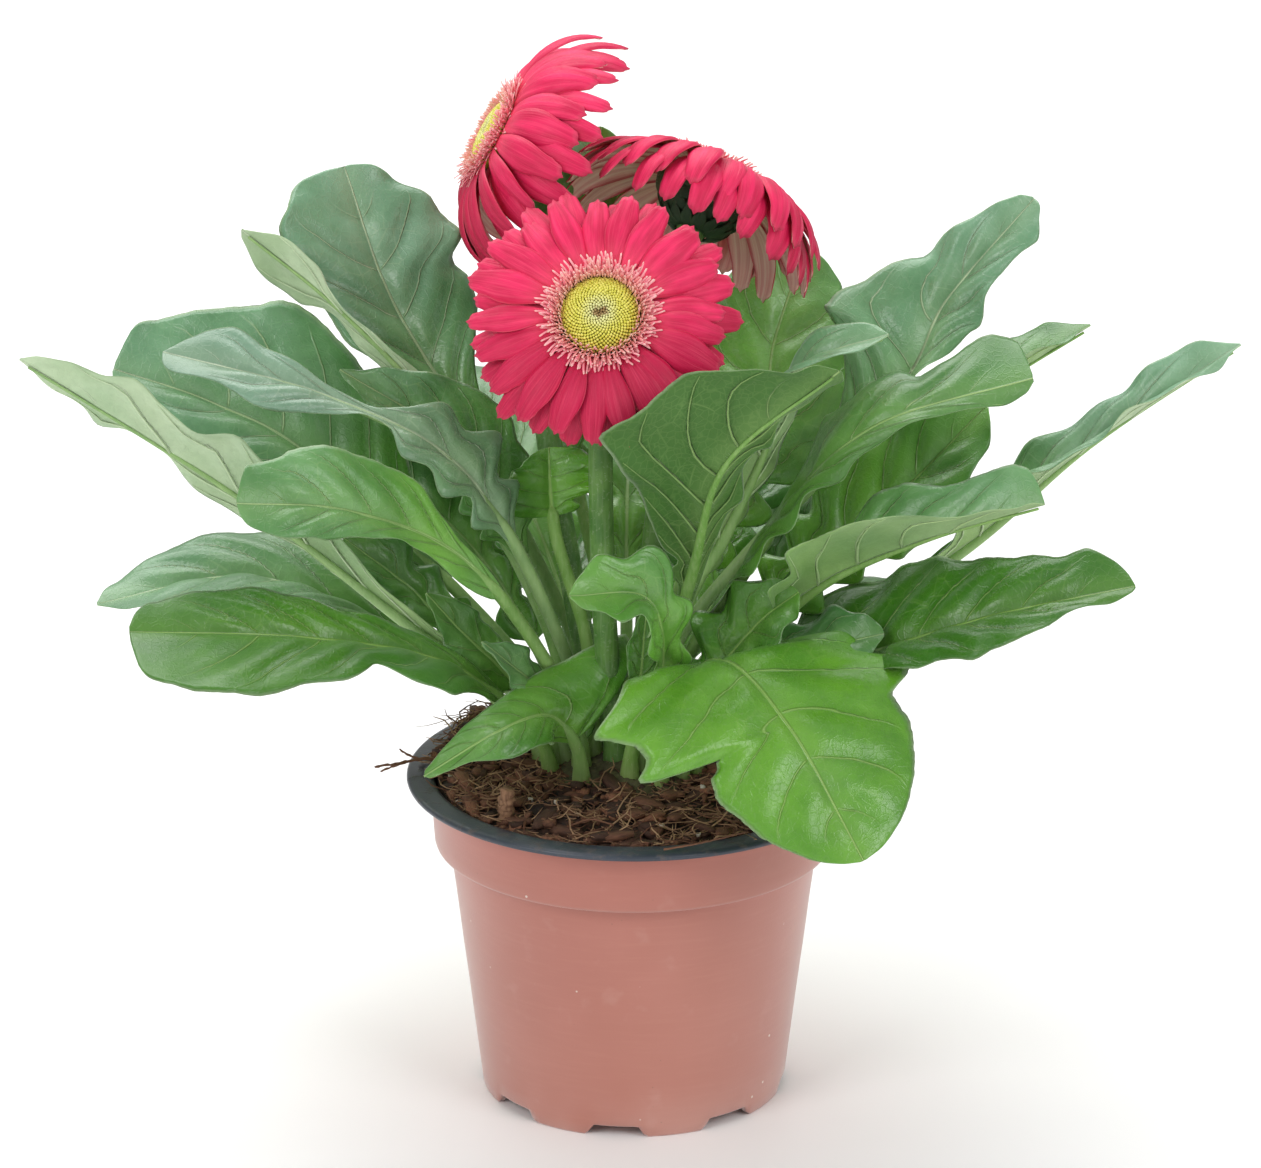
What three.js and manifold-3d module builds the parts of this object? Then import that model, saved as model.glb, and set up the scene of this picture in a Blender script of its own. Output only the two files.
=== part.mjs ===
// A potted gerbera: a rosette of lobed leaves and three ray-petalled flower heads in a thin plastic pot.
// Millimetres, +Z up. The origin is the middle of the pot's underside, on the surface it stands on.
// -Y is the front, and +X is to the right as seen from the front.

import * as THREE from "three";
import { mergeVertices } from "three/addons/utils/BufferGeometryUtils.js";
import Module from "manifold-3d";

const wasm = await Module();
wasm.setup();

// ---------------------------------------------------------------- driving dimensions

const GAP = 0.3; // between pieces that touch
const HOLE = { sides: 6, length: 16, play: 0.35 }; // holes for the feet of stalks

const POT = {
  sides: 32,
  wall: 1.3,
  rimRadius: 70,
  rimTop: 102.8,
  lipDrop: 4.2, // height of the rolled lip
  lipThick: 1.4,
  bandTopRadius: 62.6, // the wide band under the rim
  bandRadius: 61.4,
  bandBottom: 80.6,
  bodyTopRadius: 57,
  footRadius: 47.2,
  footWidth: 2.8,
  floorHeight: 4.4, // underside of the floor between its pad and the foot
  padRadius: 22, // the middle of the floor, which stands on the surface
  padSlope: 3.4,
  notches: 8,
  drains: 4,
  notchWidth: 15,
  notchTop: 10,
  notchHeight: 3.6,
  drainRadius: 3.4,
  drainCircle: 34.5,
};

const SOIL = {
  sides: 28,
  edge: 100, // height of the soil at the wall
  mound: 5.5, // how much higher it is round the crown
  lump: 1.6,
  bank: 6, // it is heaped against the back left of the rim
  bankHeading: 140,
};

const CROWN = {
  x: -3,
  y: 0,
  radius: 27.5,
  bottom: 97,
  edge: 104.5,
  top: 112,
  sides: 18,
};

const LEAF = {
  thickness: 0.9,
  stalkRadius: 2.1,
  tipRib: 0.5, // half the thickness of the midrib towards the tip
  lobedShare: 0.5, // share of the blade that is lobed
  seatDepth: 6,
  riseOut: 0.17, // the stalk's first stretch, as shares of the way to the knee
  riseUp: 0.38,
  leastRise: 17,
};

const STEM = { radius: 3.7, sides: 8, steps: 9, seatDepth: 6 };

const HEAD = {
  discRadius: 11.3,
  discRise: 3.6,
  fringeRing: [11.6, 14.6],
  fringeTop: 2,
  fringeFlorets: 20,
  fringeReach: 5.2,
  floretRadius: 0.62,
  floretSunk: 1.1, // how far a floret's foot is inside its ring
  rayRing: [14.9, 17.2],
  rayTop: 1,
  rayRoot: 15.6,
  raysInLayer: 16,
  layerStep: 2.1,
  rayWidth: 11,
  rayThickness: 0.8,
  seat: -3, // underside of the three rings, and top of the cup
  cupRadius: 17,
  cupDepth: 15,
  cupBracts: 8,
};

// ---------------------------------------------------------------- small helpers

const rad = THREE.MathUtils.degToRad;
const mix = THREE.MathUtils.lerp;
const smooth = (from, to, x) => THREE.MathUtils.smoothstep(x, from, to);
const vec = (p) => new THREE.Vector3(...p);

// A repeatable random number from 0 to 1 for a seed.
function draw(seed) {
  const x = Math.sin(seed * 127.1 + 11.7) * 43758.5453;
  return x - Math.floor(x);
}

function geometryFrom(points, faces) {
  const flat = new Float32Array(points.flatMap((p) => [p.x, p.y, p.z]));
  return new THREE.BufferGeometry()
    .setAttribute("position", new THREE.BufferAttribute(flat, 3))
    .setIndex(faces.flat());
}

function solidFrom(geometry) {
  const bare = geometry.clone();
  for (const name of Object.keys(bare.attributes)) {
    if (name !== "position") bare.deleteAttribute(name);
  }
  const merged = mergeVertices(bare, 1e-4);
  return new wasm.Manifold(
    new wasm.Mesh({
      numProp: 3,
      vertProperties: merged.attributes.position.array,
      triVerts: new Uint32Array(merged.index.array),
    }),
  );
}

function geometryOf(solid) {
  const { numProp, numVert, vertProperties, triVerts } = solid.getMesh();
  const points = [];
  for (let i = 0; i < numVert; i++) {
    points.push(new THREE.Vector3(...vertProperties.subarray(i * numProp, i * numProp + 3)));
  }
  const faces = [];
  for (let i = 0; i < triVerts.length; i += 3) {
    faces.push([...triVerts.subarray(i, i + 3)]);
  }
  return geometryFrom(points, faces);
}

const join = (solids) => solids.reduce((whole, piece) => whole.add(piece));
const cut = (solid, tools) => tools.reduce((whole, tool) => whole.subtract(tool), solid);

// A solid of revolution about Z from a closed profile of [radius, height] points.
function turned(profile, sides) {
  const outline = [...profile, profile[0]].map(([r, z]) => new THREE.Vector2(r, z));
  return new THREE.LatheGeometry(outline, sides).rotateX(Math.PI / 2);
}

// A closed skin over rings of points, with flat ends.
function lofted(rings) {
  const count = rings[0].length;
  const faces = [];
  for (let i = 0; i + 1 < rings.length; i++) {
    for (let j = 0; j < count; j++) {
      const a = i * count + j;
      const b = i * count + ((j + 1) % count);
      faces.push([a, b, b + count], [a, b + count, a + count]);
    }
  }
  const last = (rings.length - 1) * count;
  for (let j = 1; j + 1 < count; j++) {
    faces.push([0, j + 1, j], [last, last + j, last + j + 1]);
  }
  return solidFrom(geometryFrom(rings.flat(), faces));
}

// A round bar along a curve.
function bar(curve, radius, steps, sides) {
  const section = new THREE.Shape().absarc(0, 0, radius, 0, 2 * Math.PI);
  return solidFrom(
    new THREE.ExtrudeGeometry(section, {
      steps,
      curveSegments: sides / 2,
      bevelEnabled: false,
      extrudePath: curve,
    }),
  );
}

// A straight hole for the foot of a stalk that follows a curve, along the stalk's first step.
function hole({ curve, firstStep }, radius) {
  const foot = curve.getPointAt(0);
  const along = curve.getPointAt(firstStep).sub(foot).normalize();
  const from = foot.clone().addScaledVector(along, -GAP);
  const to = foot.clone().addScaledVector(along, HOLE.length);
  const corner = (radius + HOLE.play) / Math.cos(Math.PI / HOLE.sides);
  return bar(new THREE.LineCurve3(from, to), corner, 1, HOLE.sides);
}

// ---------------------------------------------------------------- pot

function pot() {
  const p = POT;
  const underRim = p.rimTop - 1.8;
  const padEdge = p.padRadius + p.padSlope;
  const profile = [
    [0, 0],
    [p.padRadius, 0],
    [padEdge, p.floorHeight],
    [p.footRadius - p.footWidth, p.floorHeight],
    [p.footRadius - p.footWidth + 0.4, 0],
    [p.footRadius, 0],
    [p.bodyTopRadius, p.bandBottom],
    [p.bandRadius, p.bandBottom],
    [p.bandTopRadius, underRim],
    [p.rimRadius - p.lipThick, underRim],
    [p.rimRadius - p.lipThick, p.rimTop - p.lipDrop],
    [p.rimRadius, p.rimTop - p.lipDrop],
    [p.rimRadius, p.rimTop - 1],
    [p.rimRadius - 1, p.rimTop],
    [p.bandTopRadius - p.wall, p.rimTop],
    [p.bandRadius - p.wall, p.bandBottom + p.wall + 1.2],
    [p.bodyTopRadius - p.wall, p.bandBottom + p.wall],
    [p.footRadius - p.wall, p.floorHeight + p.wall],
    [padEdge, p.floorHeight + p.wall],
    [p.padRadius - 0.6, p.wall],
    [0, p.wall],
  ];
  return cut(solidFrom(turned(profile, p.sides)), [...footNotches(), ...drainHoles()]);
}

// Notches through the foot, wider at the ground.
function footNotches() {
  const p = POT;
  return Array.from({ length: p.notches }, (_, k) => {
    const shape = new THREE.Shape();
    shape.moveTo(-p.notchWidth / 2, -1);
    shape.lineTo(p.notchWidth / 2, -1);
    shape.lineTo(p.notchTop / 2, p.notchHeight);
    shape.lineTo(-p.notchTop / 2, p.notchHeight);
    const block = new THREE.ExtrudeGeometry(shape, { depth: 9, bevelEnabled: false })
      .rotateX(Math.PI / 2)
      .translate(0, 6.5 - p.footRadius, 0)
      .rotateZ(((k + 0.35) * 2 * Math.PI) / p.notches);
    return solidFrom(block);
  });
}

function drainHoles() {
  const p = POT;
  return Array.from({ length: p.drains }, (_, k) => {
    const pin = new THREE.CylinderGeometry(p.drainRadius, p.drainRadius, 8, 6)
      .rotateX(Math.PI / 2)
      .translate(0, -p.drainCircle, p.floorHeight)
      .rotateZ(((k + 0.35) * 2 * Math.PI) / p.drains);
    return solidFrom(pin);
  });
}

// ---------------------------------------------------------------- soil and crown

function soilHeight(r, turn) {
  const inward = 1 - (r / POT.bandTopRadius) ** 2;
  const towardsBank = Math.max(0, Math.cos(turn - rad(SOIL.bankHeading))) ** 3;
  const coarse = Math.sin(3 * turn + r * 0.31) + Math.cos(7 * turn - r * 0.23);
  const fine = Math.sin(11 * turn + r * 0.5);
  const bank = SOIL.bank * towardsBank * smooth(20, 58, r);
  return SOIL.edge + SOIL.mound * inward + bank + (SOIL.lump / 3) * (coarse + fine);
}

function soilRing(r, height) {
  return Array.from({ length: SOIL.sides }, (_, j) => {
    const turn = (j * 2 * Math.PI) / SOIL.sides;
    return new THREE.Vector3(r * Math.cos(turn), r * Math.sin(turn), height(r, turn));
  });
}

function soil() {
  const p = POT;
  const inset = p.wall + GAP + 0.25;
  const floor = p.floorHeight + p.wall + GAP;
  const side = [
    [p.padRadius - 1.4, p.wall + GAP],
    [p.padRadius + p.padSlope - 0.6, floor],
    [p.footRadius - inset, floor],
    [p.bodyTopRadius - inset, p.bandBottom + p.wall + GAP],
    [p.bandRadius - inset, p.bandBottom + p.wall + 1.2 + GAP],
  ];
  const rings = side.map(([r, z]) => soilRing(r, () => z));
  for (const r of [p.bandTopRadius - inset - 0.2, 54, 42, 28]) rings.push(soilRing(r, soilHeight));
  return lofted(rings);
}

function crownHeight(r) {
  return mix(CROWN.top, CROWN.edge, Math.min(1, r / CROWN.radius) ** 2);
}

function crownBody(grow) {
  const shares = [1, 0.8, 0.45];
  const profile = [
    [0, CROWN.bottom - grow],
    [CROWN.radius + grow, CROWN.bottom - grow],
    ...shares.map((s) => [s * CROWN.radius + grow, crownHeight(s * CROWN.radius) + grow]),
    [0, CROWN.top + grow],
  ];
  return solidFrom(turned(profile, CROWN.sides).translate(CROWN.x, CROWN.y, 0));
}

// A place on the crown, sunk below its surface.
function seatAt([ring, heading], depth) {
  const x = CROWN.x + ring * Math.cos(rad(heading));
  const y = CROWN.y + ring * Math.sin(rad(heading));
  return new THREE.Vector3(x, y, crownHeight(ring) - depth);
}

// ---------------------------------------------------------------- leaves

// Each leaf has its seat on the crown, as [distance from the middle, heading], and three points of its
// midrib: where the broad part of the blade begins, its middle and its tip. face is the way its upper side
// looks at the base and faceTip at the tip. width is the blade's, base the share of it that the lowest
// lobes have, lobes how deep they are cut and pitch the share of the blade from one to the next. widest is
// where the blade is widest, blunt how bluntly it ends and start where it begins between the seat and the
// knee. sides are the left and right halves' shares of the width, fold how far the two halves rise from the
// midrib, in degrees, curl how far their edges bend down again, as a share of their width, and wave the
// ripple of the edge in millimetres.
const LEAF_DEFAULTS = {
  base: 0.4,
  lobes: 0.6,
  pitch: 0.145,
  widest: 0.62,
  blunt: 0.55,
  sides: [1, 1],
  fold: [14, 14],
  curl: 0.12,
  wave: 2,
  phase: 0,
  start: 0.55,
};

const LEAVES = {
  leaf_back_left_tall: {
    seat: [15, 128], line: [[-50, 36, 200], [-75, 56, 238], [-90, 74, 275]],
    face: [0.35, -0.8, 0.5],
    width: 68, widest: 0.72, blunt: 0.5, start: 0.8, base: 0.3,
  },
  leaf_back_left_pale: {
    seat: [18, 150], line: [[-66, 46, 199], [-93, 66, 227], [-121, 76, 251]],
    face: [0.2, 0.3, 0.9], faceTip: [0.3, 0.9, 0.3],
    width: 30, blunt: 0.8,
  },
  leaf_left_broad: {
    seat: [21, 163], line: [[-97, 32, 192], [-129, 42, 209], [-161, 48, 222]],
    face: [0.2, -0.8, 0.6],
    width: 58, widest: 0.7, blunt: 0.5,
  },
  leaf_left_grey: {
    seat: [12, 178], line: [[-50, -8, 202], [-92, -4, 226], [-142, -2, 239]],
    face: [0.1, -0.3, 0.95],
    width: 38, blunt: 0.5, fold: [12, 10],
  },
  leaf_left_far: {
    seat: [17, 190], line: [[-68, -6, 154], [-117, -18, 198], [-183, -24, 244]],
    face: [0.2, 0.5, 0.8],
    width: 38, blunt: 0.85, widest: 0.5, fold: [32, 8],
  },
  leaf_left_front: {
    seat: [15, 214], line: [[-50, -24, 183], [-84, -46, 208], [-117, -60, 215]],
    face: [0, -0.3, 0.95],
    width: 56, base: 0.75, lobes: 0.35, blunt: 0.45, start: 0.8,
  },
  leaf_left_low: {
    seat: [24, 176], line: [[-72, 14, 144], [-118, 8, 164], [-164, -2, 158]],
    face: [0, -0.15, 0.98],
    width: 54, base: 0.7, lobes: 0.4, blunt: 0.7,
  },
  leaf_left_lowest: {
    seat: [23, 200], line: [[-56, -23, 147], [-100, -48, 165], [-150, -56, 169]],
    face: [0, -0.4, 0.9],
    width: 46, base: 0.55, lobes: 0.4, widest: 0.76, blunt: 0.42,
  },
  leaf_over_rim: {
    seat: [22, 235], line: [[-26, -28, 130], [-42, -43, 132], [-62, -51, 119]],
    face: [-0.1, -0.6, 0.8],
    width: 38, base: 0.8, lobes: 0.15, start: 0.55, widest: 0.4, blunt: 0.85, wave: 1,
  },
  leaf_front: {
    seat: [21, 300], line: [[26, -36, 153], [47.5, -62, 140], [68, -86, 108]],
    face: [-0.08, 0.32, 0.92], faceTip: [0.35, -0.6, 0.7],
    width: 66, base: 1.56, lobes: 0.28, pitch: 0.19, start: 0.87, widest: 0.5, blunt: 0.5,
    fold: [12, -20], sides: [1, 1.1],
  },
  leaf_right_low: {
    seat: [22, 338], line: [[56, -8, 138], [106, -30, 164.5], [151, -30, 174]],
    face: [0.05, -0.45, 0.9],
    width: 43, base: 0.7, lobes: 0.35, blunt: 0.6, start: 0.8,
  },
  leaf_right_pale: {
    seat: [15, 332], line: [[51, -11, 165], [85, -22, 187], [122, -32, 207]],
    face: [-0.1, 0.8, 0.6], faceTip: [-0.1, -0.05, 0.95],
    width: 40, base: 0.5, fold: [18, 26], start: 0.7,
  },
  leaf_right_far: {
    seat: [20, 8], line: [[99, 12, 171], [138, 14, 203], [185, 18, 235]],
    face: [0, 0.45, 0.9], faceTip: [-0.3, -0.05, 0.95],
    width: 36, widest: 0.45, blunt: 0.9, start: 0.75,
  },
  leaf_right_tall: {
    seat: [10, 45], line: [[79, 26, 215], [96, 38, 243], [123, 46, 273]],
    face: [-0.35, -0.7, 0.6],
    width: 52, widest: 0.4, blunt: 0.8, start: 0.75, base: 0.5,
  },
  leaf_right_edge: {
    seat: [17, 36], line: [[83, 50, 184], [110, 64, 205], [143, 72, 224]],
    face: [-0.3, 0.33, 0.9],
    width: 32, blunt: 0.8,
  },
  leaf_right_arched: {
    seat: [12, 350], line: [[44, -6, 189], [73, -10, 219], [120, -12, 235]],
    face: [0, 0.3, 0.95], faceTip: [-0.2, -0.25, 0.9],
    width: 42, widest: 0.7, blunt: 0.5,
  },
  leaf_right_dark: {
    seat: [15, 15], line: [[64, 26, 168], [84, 30, 185], [109, 34, 210]],
    face: [-0.3, -0.6, 0.7],
    width: 48, blunt: 0.7, lobes: 0.5,
  },
  leaf_back_right: {
    seat: [13, 68], line: [[38, 44, 200], [44, 64, 222], [54, 80, 247]],
    face: [-0.2, -0.85, 0.45],
    width: 56, blunt: 0.6,
  },
  leaf_centre_grey: {
    seat: [9, 320], line: [[36, -6, 203], [50, -14, 238], [76, -22, 251]],
    face: [-0.5, 0.4, 0.75],
    width: 34,
  },
  leaf_centre_right: {
    seat: [15, 308], line: [[18, -24, 178], [28, -46, 220], [60, -60, 252]],
    face: [0.1, 0.88, 0.42],
    width: 68, base: 0.22, widest: 0.6, blunt: 0.6, fold: [30, -4], sides: [0.75, 1.25], start: 0.75,
  },
  leaf_centre_young: {
    seat: [17, 275], line: [[3, -30, 156], [-2, -44, 176], [-12, -50, 184]],
    face: [0, 0.95, 0.3], faceTip: [0, -0.1, 1],
    width: 20, lobes: 0.4, base: 0.6,
  },
  leaf_centre_lobed: {
    seat: [10, 205], line: [[-15, 1, 148], [-26, 8, 176], [-26, 12, 203]],
    face: [0.2, -0.9, 0.3],
    width: 30, lobes: 0.7, start: 0.9,
  },
  leaf_centre_left: {
    seat: [16, 164], line: [[-36, 15, 172], [-55, 20, 203], [-90, 24, 225]],
    face: [0.2, -0.8, 0.6],
    width: 42, start: 0.7, base: 0.3,
  },
  leaf_back_tall: {
    seat: [17, 95], line: [[-20, 46, 197], [-21, 68, 245], [-20, 84, 286]],
    face: [0, -0.9, 0.4],
    width: 38, start: 0.8,
  },
  leaf_back_1: {
    seat: [22, 88], line: [[-2, 62, 170], [0, 105, 190], [2, 150, 186]],
    face: [0, -0.45, 0.9],
    width: 44,
  },
  leaf_back_2: {
    seat: [19, 62], line: [[28, 55, 165], [52, 92, 190], [78, 130, 196]],
    face: [-0.2, -0.4, 0.9],
    width: 50,
  },
  leaf_back_3: {
    seat: [20, 118], line: [[-32, 55, 168], [-56, 92, 190], [-80, 128, 190]],
    face: [0.2, -0.4, 0.9],
    width: 50,
  },
  leaf_back_4: {
    seat: [23, 42], line: [[46, 46, 148], [72, 66, 166], [100, 88, 170]],
    face: [-0.3, -0.3, 0.9],
    width: 46,
  },
  leaf_back_5: {
    seat: [23, 135], line: [[-46, 44, 155], [-78, 70, 176], [-112, 94, 180]],
    face: [0.3, -0.3, 0.9],
    width: 48,
  },
  leaf_back_low_1: {
    seat: [24, 74], line: [[16, 62, 132], [26, 110, 148], [36, 160, 136]],
    face: [0, -0.2, 1],
    width: 48,
  },
  leaf_back_low_2: {
    seat: [24, 103], line: [[-20, 62, 132], [-34, 110, 146], [-46, 158, 134]],
    face: [0, -0.2, 1],
    width: 48,
  },
  leaf_back_low_3: {
    seat: [24, 22], line: [[52, 30, 128], [92, 50, 140], [134, 68, 130]],
    face: [-0.1, -0.1, 1],
    width: 44,
  },
  leaf_back_low_4: {
    seat: [24, 149], line: [[-56, 28, 128], [-98, 46, 140], [-142, 60, 130]],
    face: [0.1, -0.1, 1],
    width: 44,
  },
};

// Where a leaf's skin is crossed: across, along the stalk, and how often over the lobes and to the tip.
const ACROSS = [-1, -0.5, 0, 0.5, 1];
const STALK_STEPS = [0, 0.4];
const LOBE_STEPS = 6;
const TIP_STEPS = 5;

function leafSpine(leaf) {
  const base = seatAt(leaf.seat, LEAF.seatDepth);
  const [knee, middle, tip] = leaf.line.map(vec);
  const rise = new THREE.Vector3(
    mix(base.x, knee.x, LEAF.riseOut),
    mix(base.y, knee.y, LEAF.riseOut),
    mix(base.z, knee.z, LEAF.riseUp),
  );
  rise.z = Math.max(rise.z, base.z + LEAF.leastRise);
  const curve = new THREE.CatmullRomCurve3([base, rise, knee, middle, tip], false, "catmullrom", 0.5);
  const toKnee = base.distanceTo(rise) + rise.distanceTo(knee);
  const start = (leaf.start * toKnee) / curve.getLength();
  return { curve, start, firstStep: STALK_STEPS[1] * start };
}

// Half the blade's width at s, from 0 at the first lobe to 1 at the tip.
function bladeHalf(leaf, s) {
  const beyond = Math.max(0, (s - leaf.widest) / (1 - leaf.widest));
  const round = Math.max(0, 1 - beyond ** 2) ** leaf.blunt;
  const body = mix(leaf.base, 1, smooth(0, 0.55, s)) * smooth(-0.06, 0.05, s);
  const dip = 0.5 + 0.5 * Math.cos((2 * Math.PI * s) / leaf.pitch);
  const depth = leaf.lobes * (1 - smooth(LEAF.lobedShare - 0.2, LEAF.lobedShare, s));
  return (leaf.width / 2) * body * round * (1 - depth * dip);
}

// The middle surface of the leaf: t runs from the seat to the tip, v from -1 to 1 across.
function leafMiddle(leaf, spine, t, v) {
  const s = Math.max(0, (t - spine.start) / (1 - spine.start));
  const at = spine.curve.getPointAt(THREE.MathUtils.clamp(t, 0, 1));
  const along = spine.curve.getTangentAt(THREE.MathUtils.clamp(t, 0, 1));
  const facing = vec(leaf.face).lerp(vec(leaf.faceTip ?? leaf.face), smooth(0.15, 0.9, s));
  const up = facing.addScaledVector(along, -facing.dot(along)).normalize();
  const across = new THREE.Vector3().crossVectors(along, up);
  const wide = bladeHalf(leaf, s) * (v < 0 ? leaf.sides[0] : leaf.sides[1]) * smooth(0, 0.03, s);
  const half = Math.max(mix(LEAF.stalkRadius, 0.4, smooth(0.5, 1, s)), wide);
  const spread = smooth(0, 0.2, s);
  const angle = rad(v < 0 ? leaf.fold[0] : leaf.fold[1]) * spread;
  const ripple = Math.sin(2 * Math.PI * (2.6 * s + (v > 0 ? 0.3 : 0) + leaf.phase));
  const edge = leaf.wave * ripple * v * v * smooth(0.1, 0.4, s) * (1 - smooth(0.92, 1, s));
  const lift = half * Math.abs(v) * Math.sin(angle) - half * leaf.curl * v * v * spread + edge;
  return at.addScaledVector(across, half * v * Math.cos(angle)).addScaledVector(up, lift);
}

// A point of the leaf's skin, above (face 1) or below (face -1) the middle surface.
function leafSkin(leaf, spine, t, v, face) {
  const point = leafMiddle(leaf, spine, t, v);
  if (Math.abs(v) === 1) return point;
  const step = 0.01;
  const ahead = leafMiddle(leaf, spine, Math.min(1, t + step), v);
  const behind = leafMiddle(leaf, spine, Math.max(0, t - step), v);
  const right = leafMiddle(leaf, spine, t, v + 0.05);
  const left = leafMiddle(leaf, spine, t, v - 0.05);
  const normal = right.sub(left).cross(ahead.sub(behind)).normalize();
  const s = Math.max(0, (t - spine.start) / (1 - spine.start));
  const flatness = smooth(0, 0.12, s);
  const rib = mix(LEAF.stalkRadius, LEAF.tipRib, smooth(0, 0.75, s));
  const below = v === 0 ? rib : LEAF.thickness / 2;
  const stalk = v === 0 ? LEAF.stalkRadius : LEAF.stalkRadius * 0.8;
  const depth = face > 0 ? mix(stalk, LEAF.thickness / 2, flatness) : mix(stalk, below, flatness);
  return point.addScaledVector(normal, face * depth);
}


// Where the blade is crossed: at each lobe and each notch, then more and more closely to the tip.
function bladeSteps(leaf) {
  const lobed = Math.min(LOBE_STEPS, Math.floor((2 * LEAF.lobedShare) / leaf.pitch));
  const steps = Array.from({ length: lobed }, (_, i) => (i * leaf.pitch) / 2);
  const from = steps[lobed - 1];
  const rest = LOBE_STEPS + TIP_STEPS - lobed;
  for (let i = 1; i <= rest; i++) steps.push(mix(from, 0.985, 1 - (1 - i / rest) ** 1.25));
  return steps;
}

// The leaf's skin is split into triangles alike above and below.
function leafSolid(leaf) {
  const spine = leafSpine(leaf);
  const stations = [
    ...STALK_STEPS.map((s) => s * spine.start),
    ...bladeSteps(leaf).map((s) => mix(spine.start, 1, s)),
  ];
  const last = ACROSS.length - 1;
  const ring = 2 * last;
  const points = [];
  for (const t of stations) {
    for (let j = 0; j <= last; j++) points.push(leafSkin(leaf, spine, t, ACROSS[j], 1));
    for (let j = last - 1; j > 0; j--) points.push(leafSkin(leaf, spine, t, ACROSS[j], -1));
  }
  const above = (i, j) => i * ring + j;
  const below = (i, j) => i * ring + (j === 0 || j === last ? j : ring - j);
  const faces = [];
  for (let i = 0; i + 1 < stations.length; i++) {
    for (let j = 0; j < last; j++) {
      faces.push([above(i, j), above(i, j + 1), above(i + 1, j + 1)]);
      faces.push([above(i, j), above(i + 1, j + 1), above(i + 1, j)]);
      faces.push([below(i, j), below(i + 1, j + 1), below(i, j + 1)]);
      faces.push([below(i, j), below(i + 1, j), below(i + 1, j + 1)]);
    }
  }
  const end = (stations.length - 1) * ring;
  for (let j = 1; j + 1 < ring; j++) {
    faces.push([0, j + 1, j], [end, end + j, end + j + 1]);
  }
  return solidFrom(geometryFrom(points, faces));
}

// ---------------------------------------------------------------- flowers

// Each flower has the middle of its face, the way it looks, the points of its stem after the seat, the
// length of its rays, the angle at which they leave the face and how far they bend back along their length.
const FLOWERS = {
  front: {
    middle: [-10, -28, 259], face: [-0.03, -0.8, 0.6],
    seat: [8, 256], stem: [[-9, -12, 160], [-10, -12, 215]],
    rays: 27, rise: 2, bend: 40, spin: 0,
  },
  left: {
    middle: [-42, 48, 293], face: [-0.87, -0.02, 0.49],
    seat: [6, 150], stem: [[-17, 9, 150], [-29, 37, 230]],
    rays: 37, rise: -4, bend: 80, spin: 3,
  },
  right: {
    middle: [24, 46, 279], face: [0.36, 0.57, 0.74],
    seat: [5, 20], stem: [[5, 8, 160], [12, 22, 225]],
    rays: 33, rise: 2, bend: 78, spin: 2,
  },
};

function headFrame(flower) {
  const facing = vec(flower.face).normalize();
  const right = new THREE.Vector3(0, 0, 1).cross(facing).normalize();
  const up = new THREE.Vector3().crossVectors(facing, right);
  return new THREE.Matrix4().makeBasis(right, up, facing).setPosition(...flower.middle);
}

// Points are made about +Z, with the face of the head at height 0, and then moved to the head's place.
const round = (r, turn, height) => new THREE.Vector3(r * Math.cos(turn), r * Math.sin(turn), height);
const onHead = (solid, flower) => solidFrom(geometryOf(solid).applyMatrix4(headFrame(flower)));

function ringOf([inner, outer], low, high, sides) {
  return solidFrom(turned([[inner, low], [outer, low], [outer, high], [inner, high]], sides));
}

// A ray's line from its root: how far out and up it is at share s of its length.
function rayLine(length, rise, bend, s) {
  const steps = 10;
  const point = { out: 0, up: 0, angle: 0 };
  for (let i = 0; i < steps; i++) {
    const angle = rad(rise - bend * ((s * (i + 0.5)) / steps) ** 1.2);
    point.out += (Math.cos(angle) * length * s) / steps;
    point.up += (Math.sin(angle) * length * s) / steps;
  }
  point.angle = rad(rise - bend * s ** 1.2);
  return point;
}

function rayHalf(s) {
  const tip = s < 0.7 ? 1 : Math.sqrt(1 - 0.8 * ((s - 0.7) / 0.3) ** 2);
  return (HEAD.rayWidth / 2) * mix(0.4, 1, smooth(0, 0.6, s)) * tip;
}

const RAY_STEPS = [0, 0.42, 0.78, 1];

function ray(flower, layer, index) {
  const key = layer * 50 + index + flower.spin * 7;
  const pitch = (2 * Math.PI) / HEAD.raysInLayer;
  const turn = (index + 0.5 * layer) * pitch + rad(flower.spin) + (draw(key) - 0.5) * 0.08 * pitch;
  const length = flower.rays * (layer ? 0.9 : 1) * mix(0.95, 1.04, draw(key + 7));
  const rise = flower.rise + (layer ? 7 : 0) + mix(-1.5, 1.5, draw(key + 13));
  const bend = flower.bend * mix(0.94, 1.06, draw(key + 29));
  const foot = layer ? HEAD.rayTop - 0.6 : HEAD.rayTop - 0.6 - HEAD.layerStep;
  const rings = RAY_STEPS.map((s) => {
    const { out, up, angle } = rayLine(length, rise, bend, s);
    const half = rayHalf(s);
    const thick = HEAD.rayThickness / 2;
    const spot = (v, skin) => {
      const lie = up - Math.abs(v) * half * 0.2 * smooth(0, 0.5, s);
      const far = HEAD.rayRoot + out - skin * Math.sin(angle);
      const point = round(far, turn, foot + lie + skin * Math.cos(angle));
      return point.addScaledVector(round(1, turn + Math.PI / 2, 0), v * half);
    };
    return [spot(-1, 0), spot(0, -thick), spot(1, 0), spot(0, thick)];
  });
  return lofted(rings);
}

function rays(flower) {
  const petals = [ringOf(HEAD.rayRing, HEAD.seat, HEAD.rayTop, HEAD.raysInLayer)];
  for (let layer = 0; layer < 2; layer++) {
    for (let k = 0; k < HEAD.raysInLayer; k++) petals.push(ray(flower, layer, k));
  }
  return onHead(join(petals), flower);
}

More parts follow.
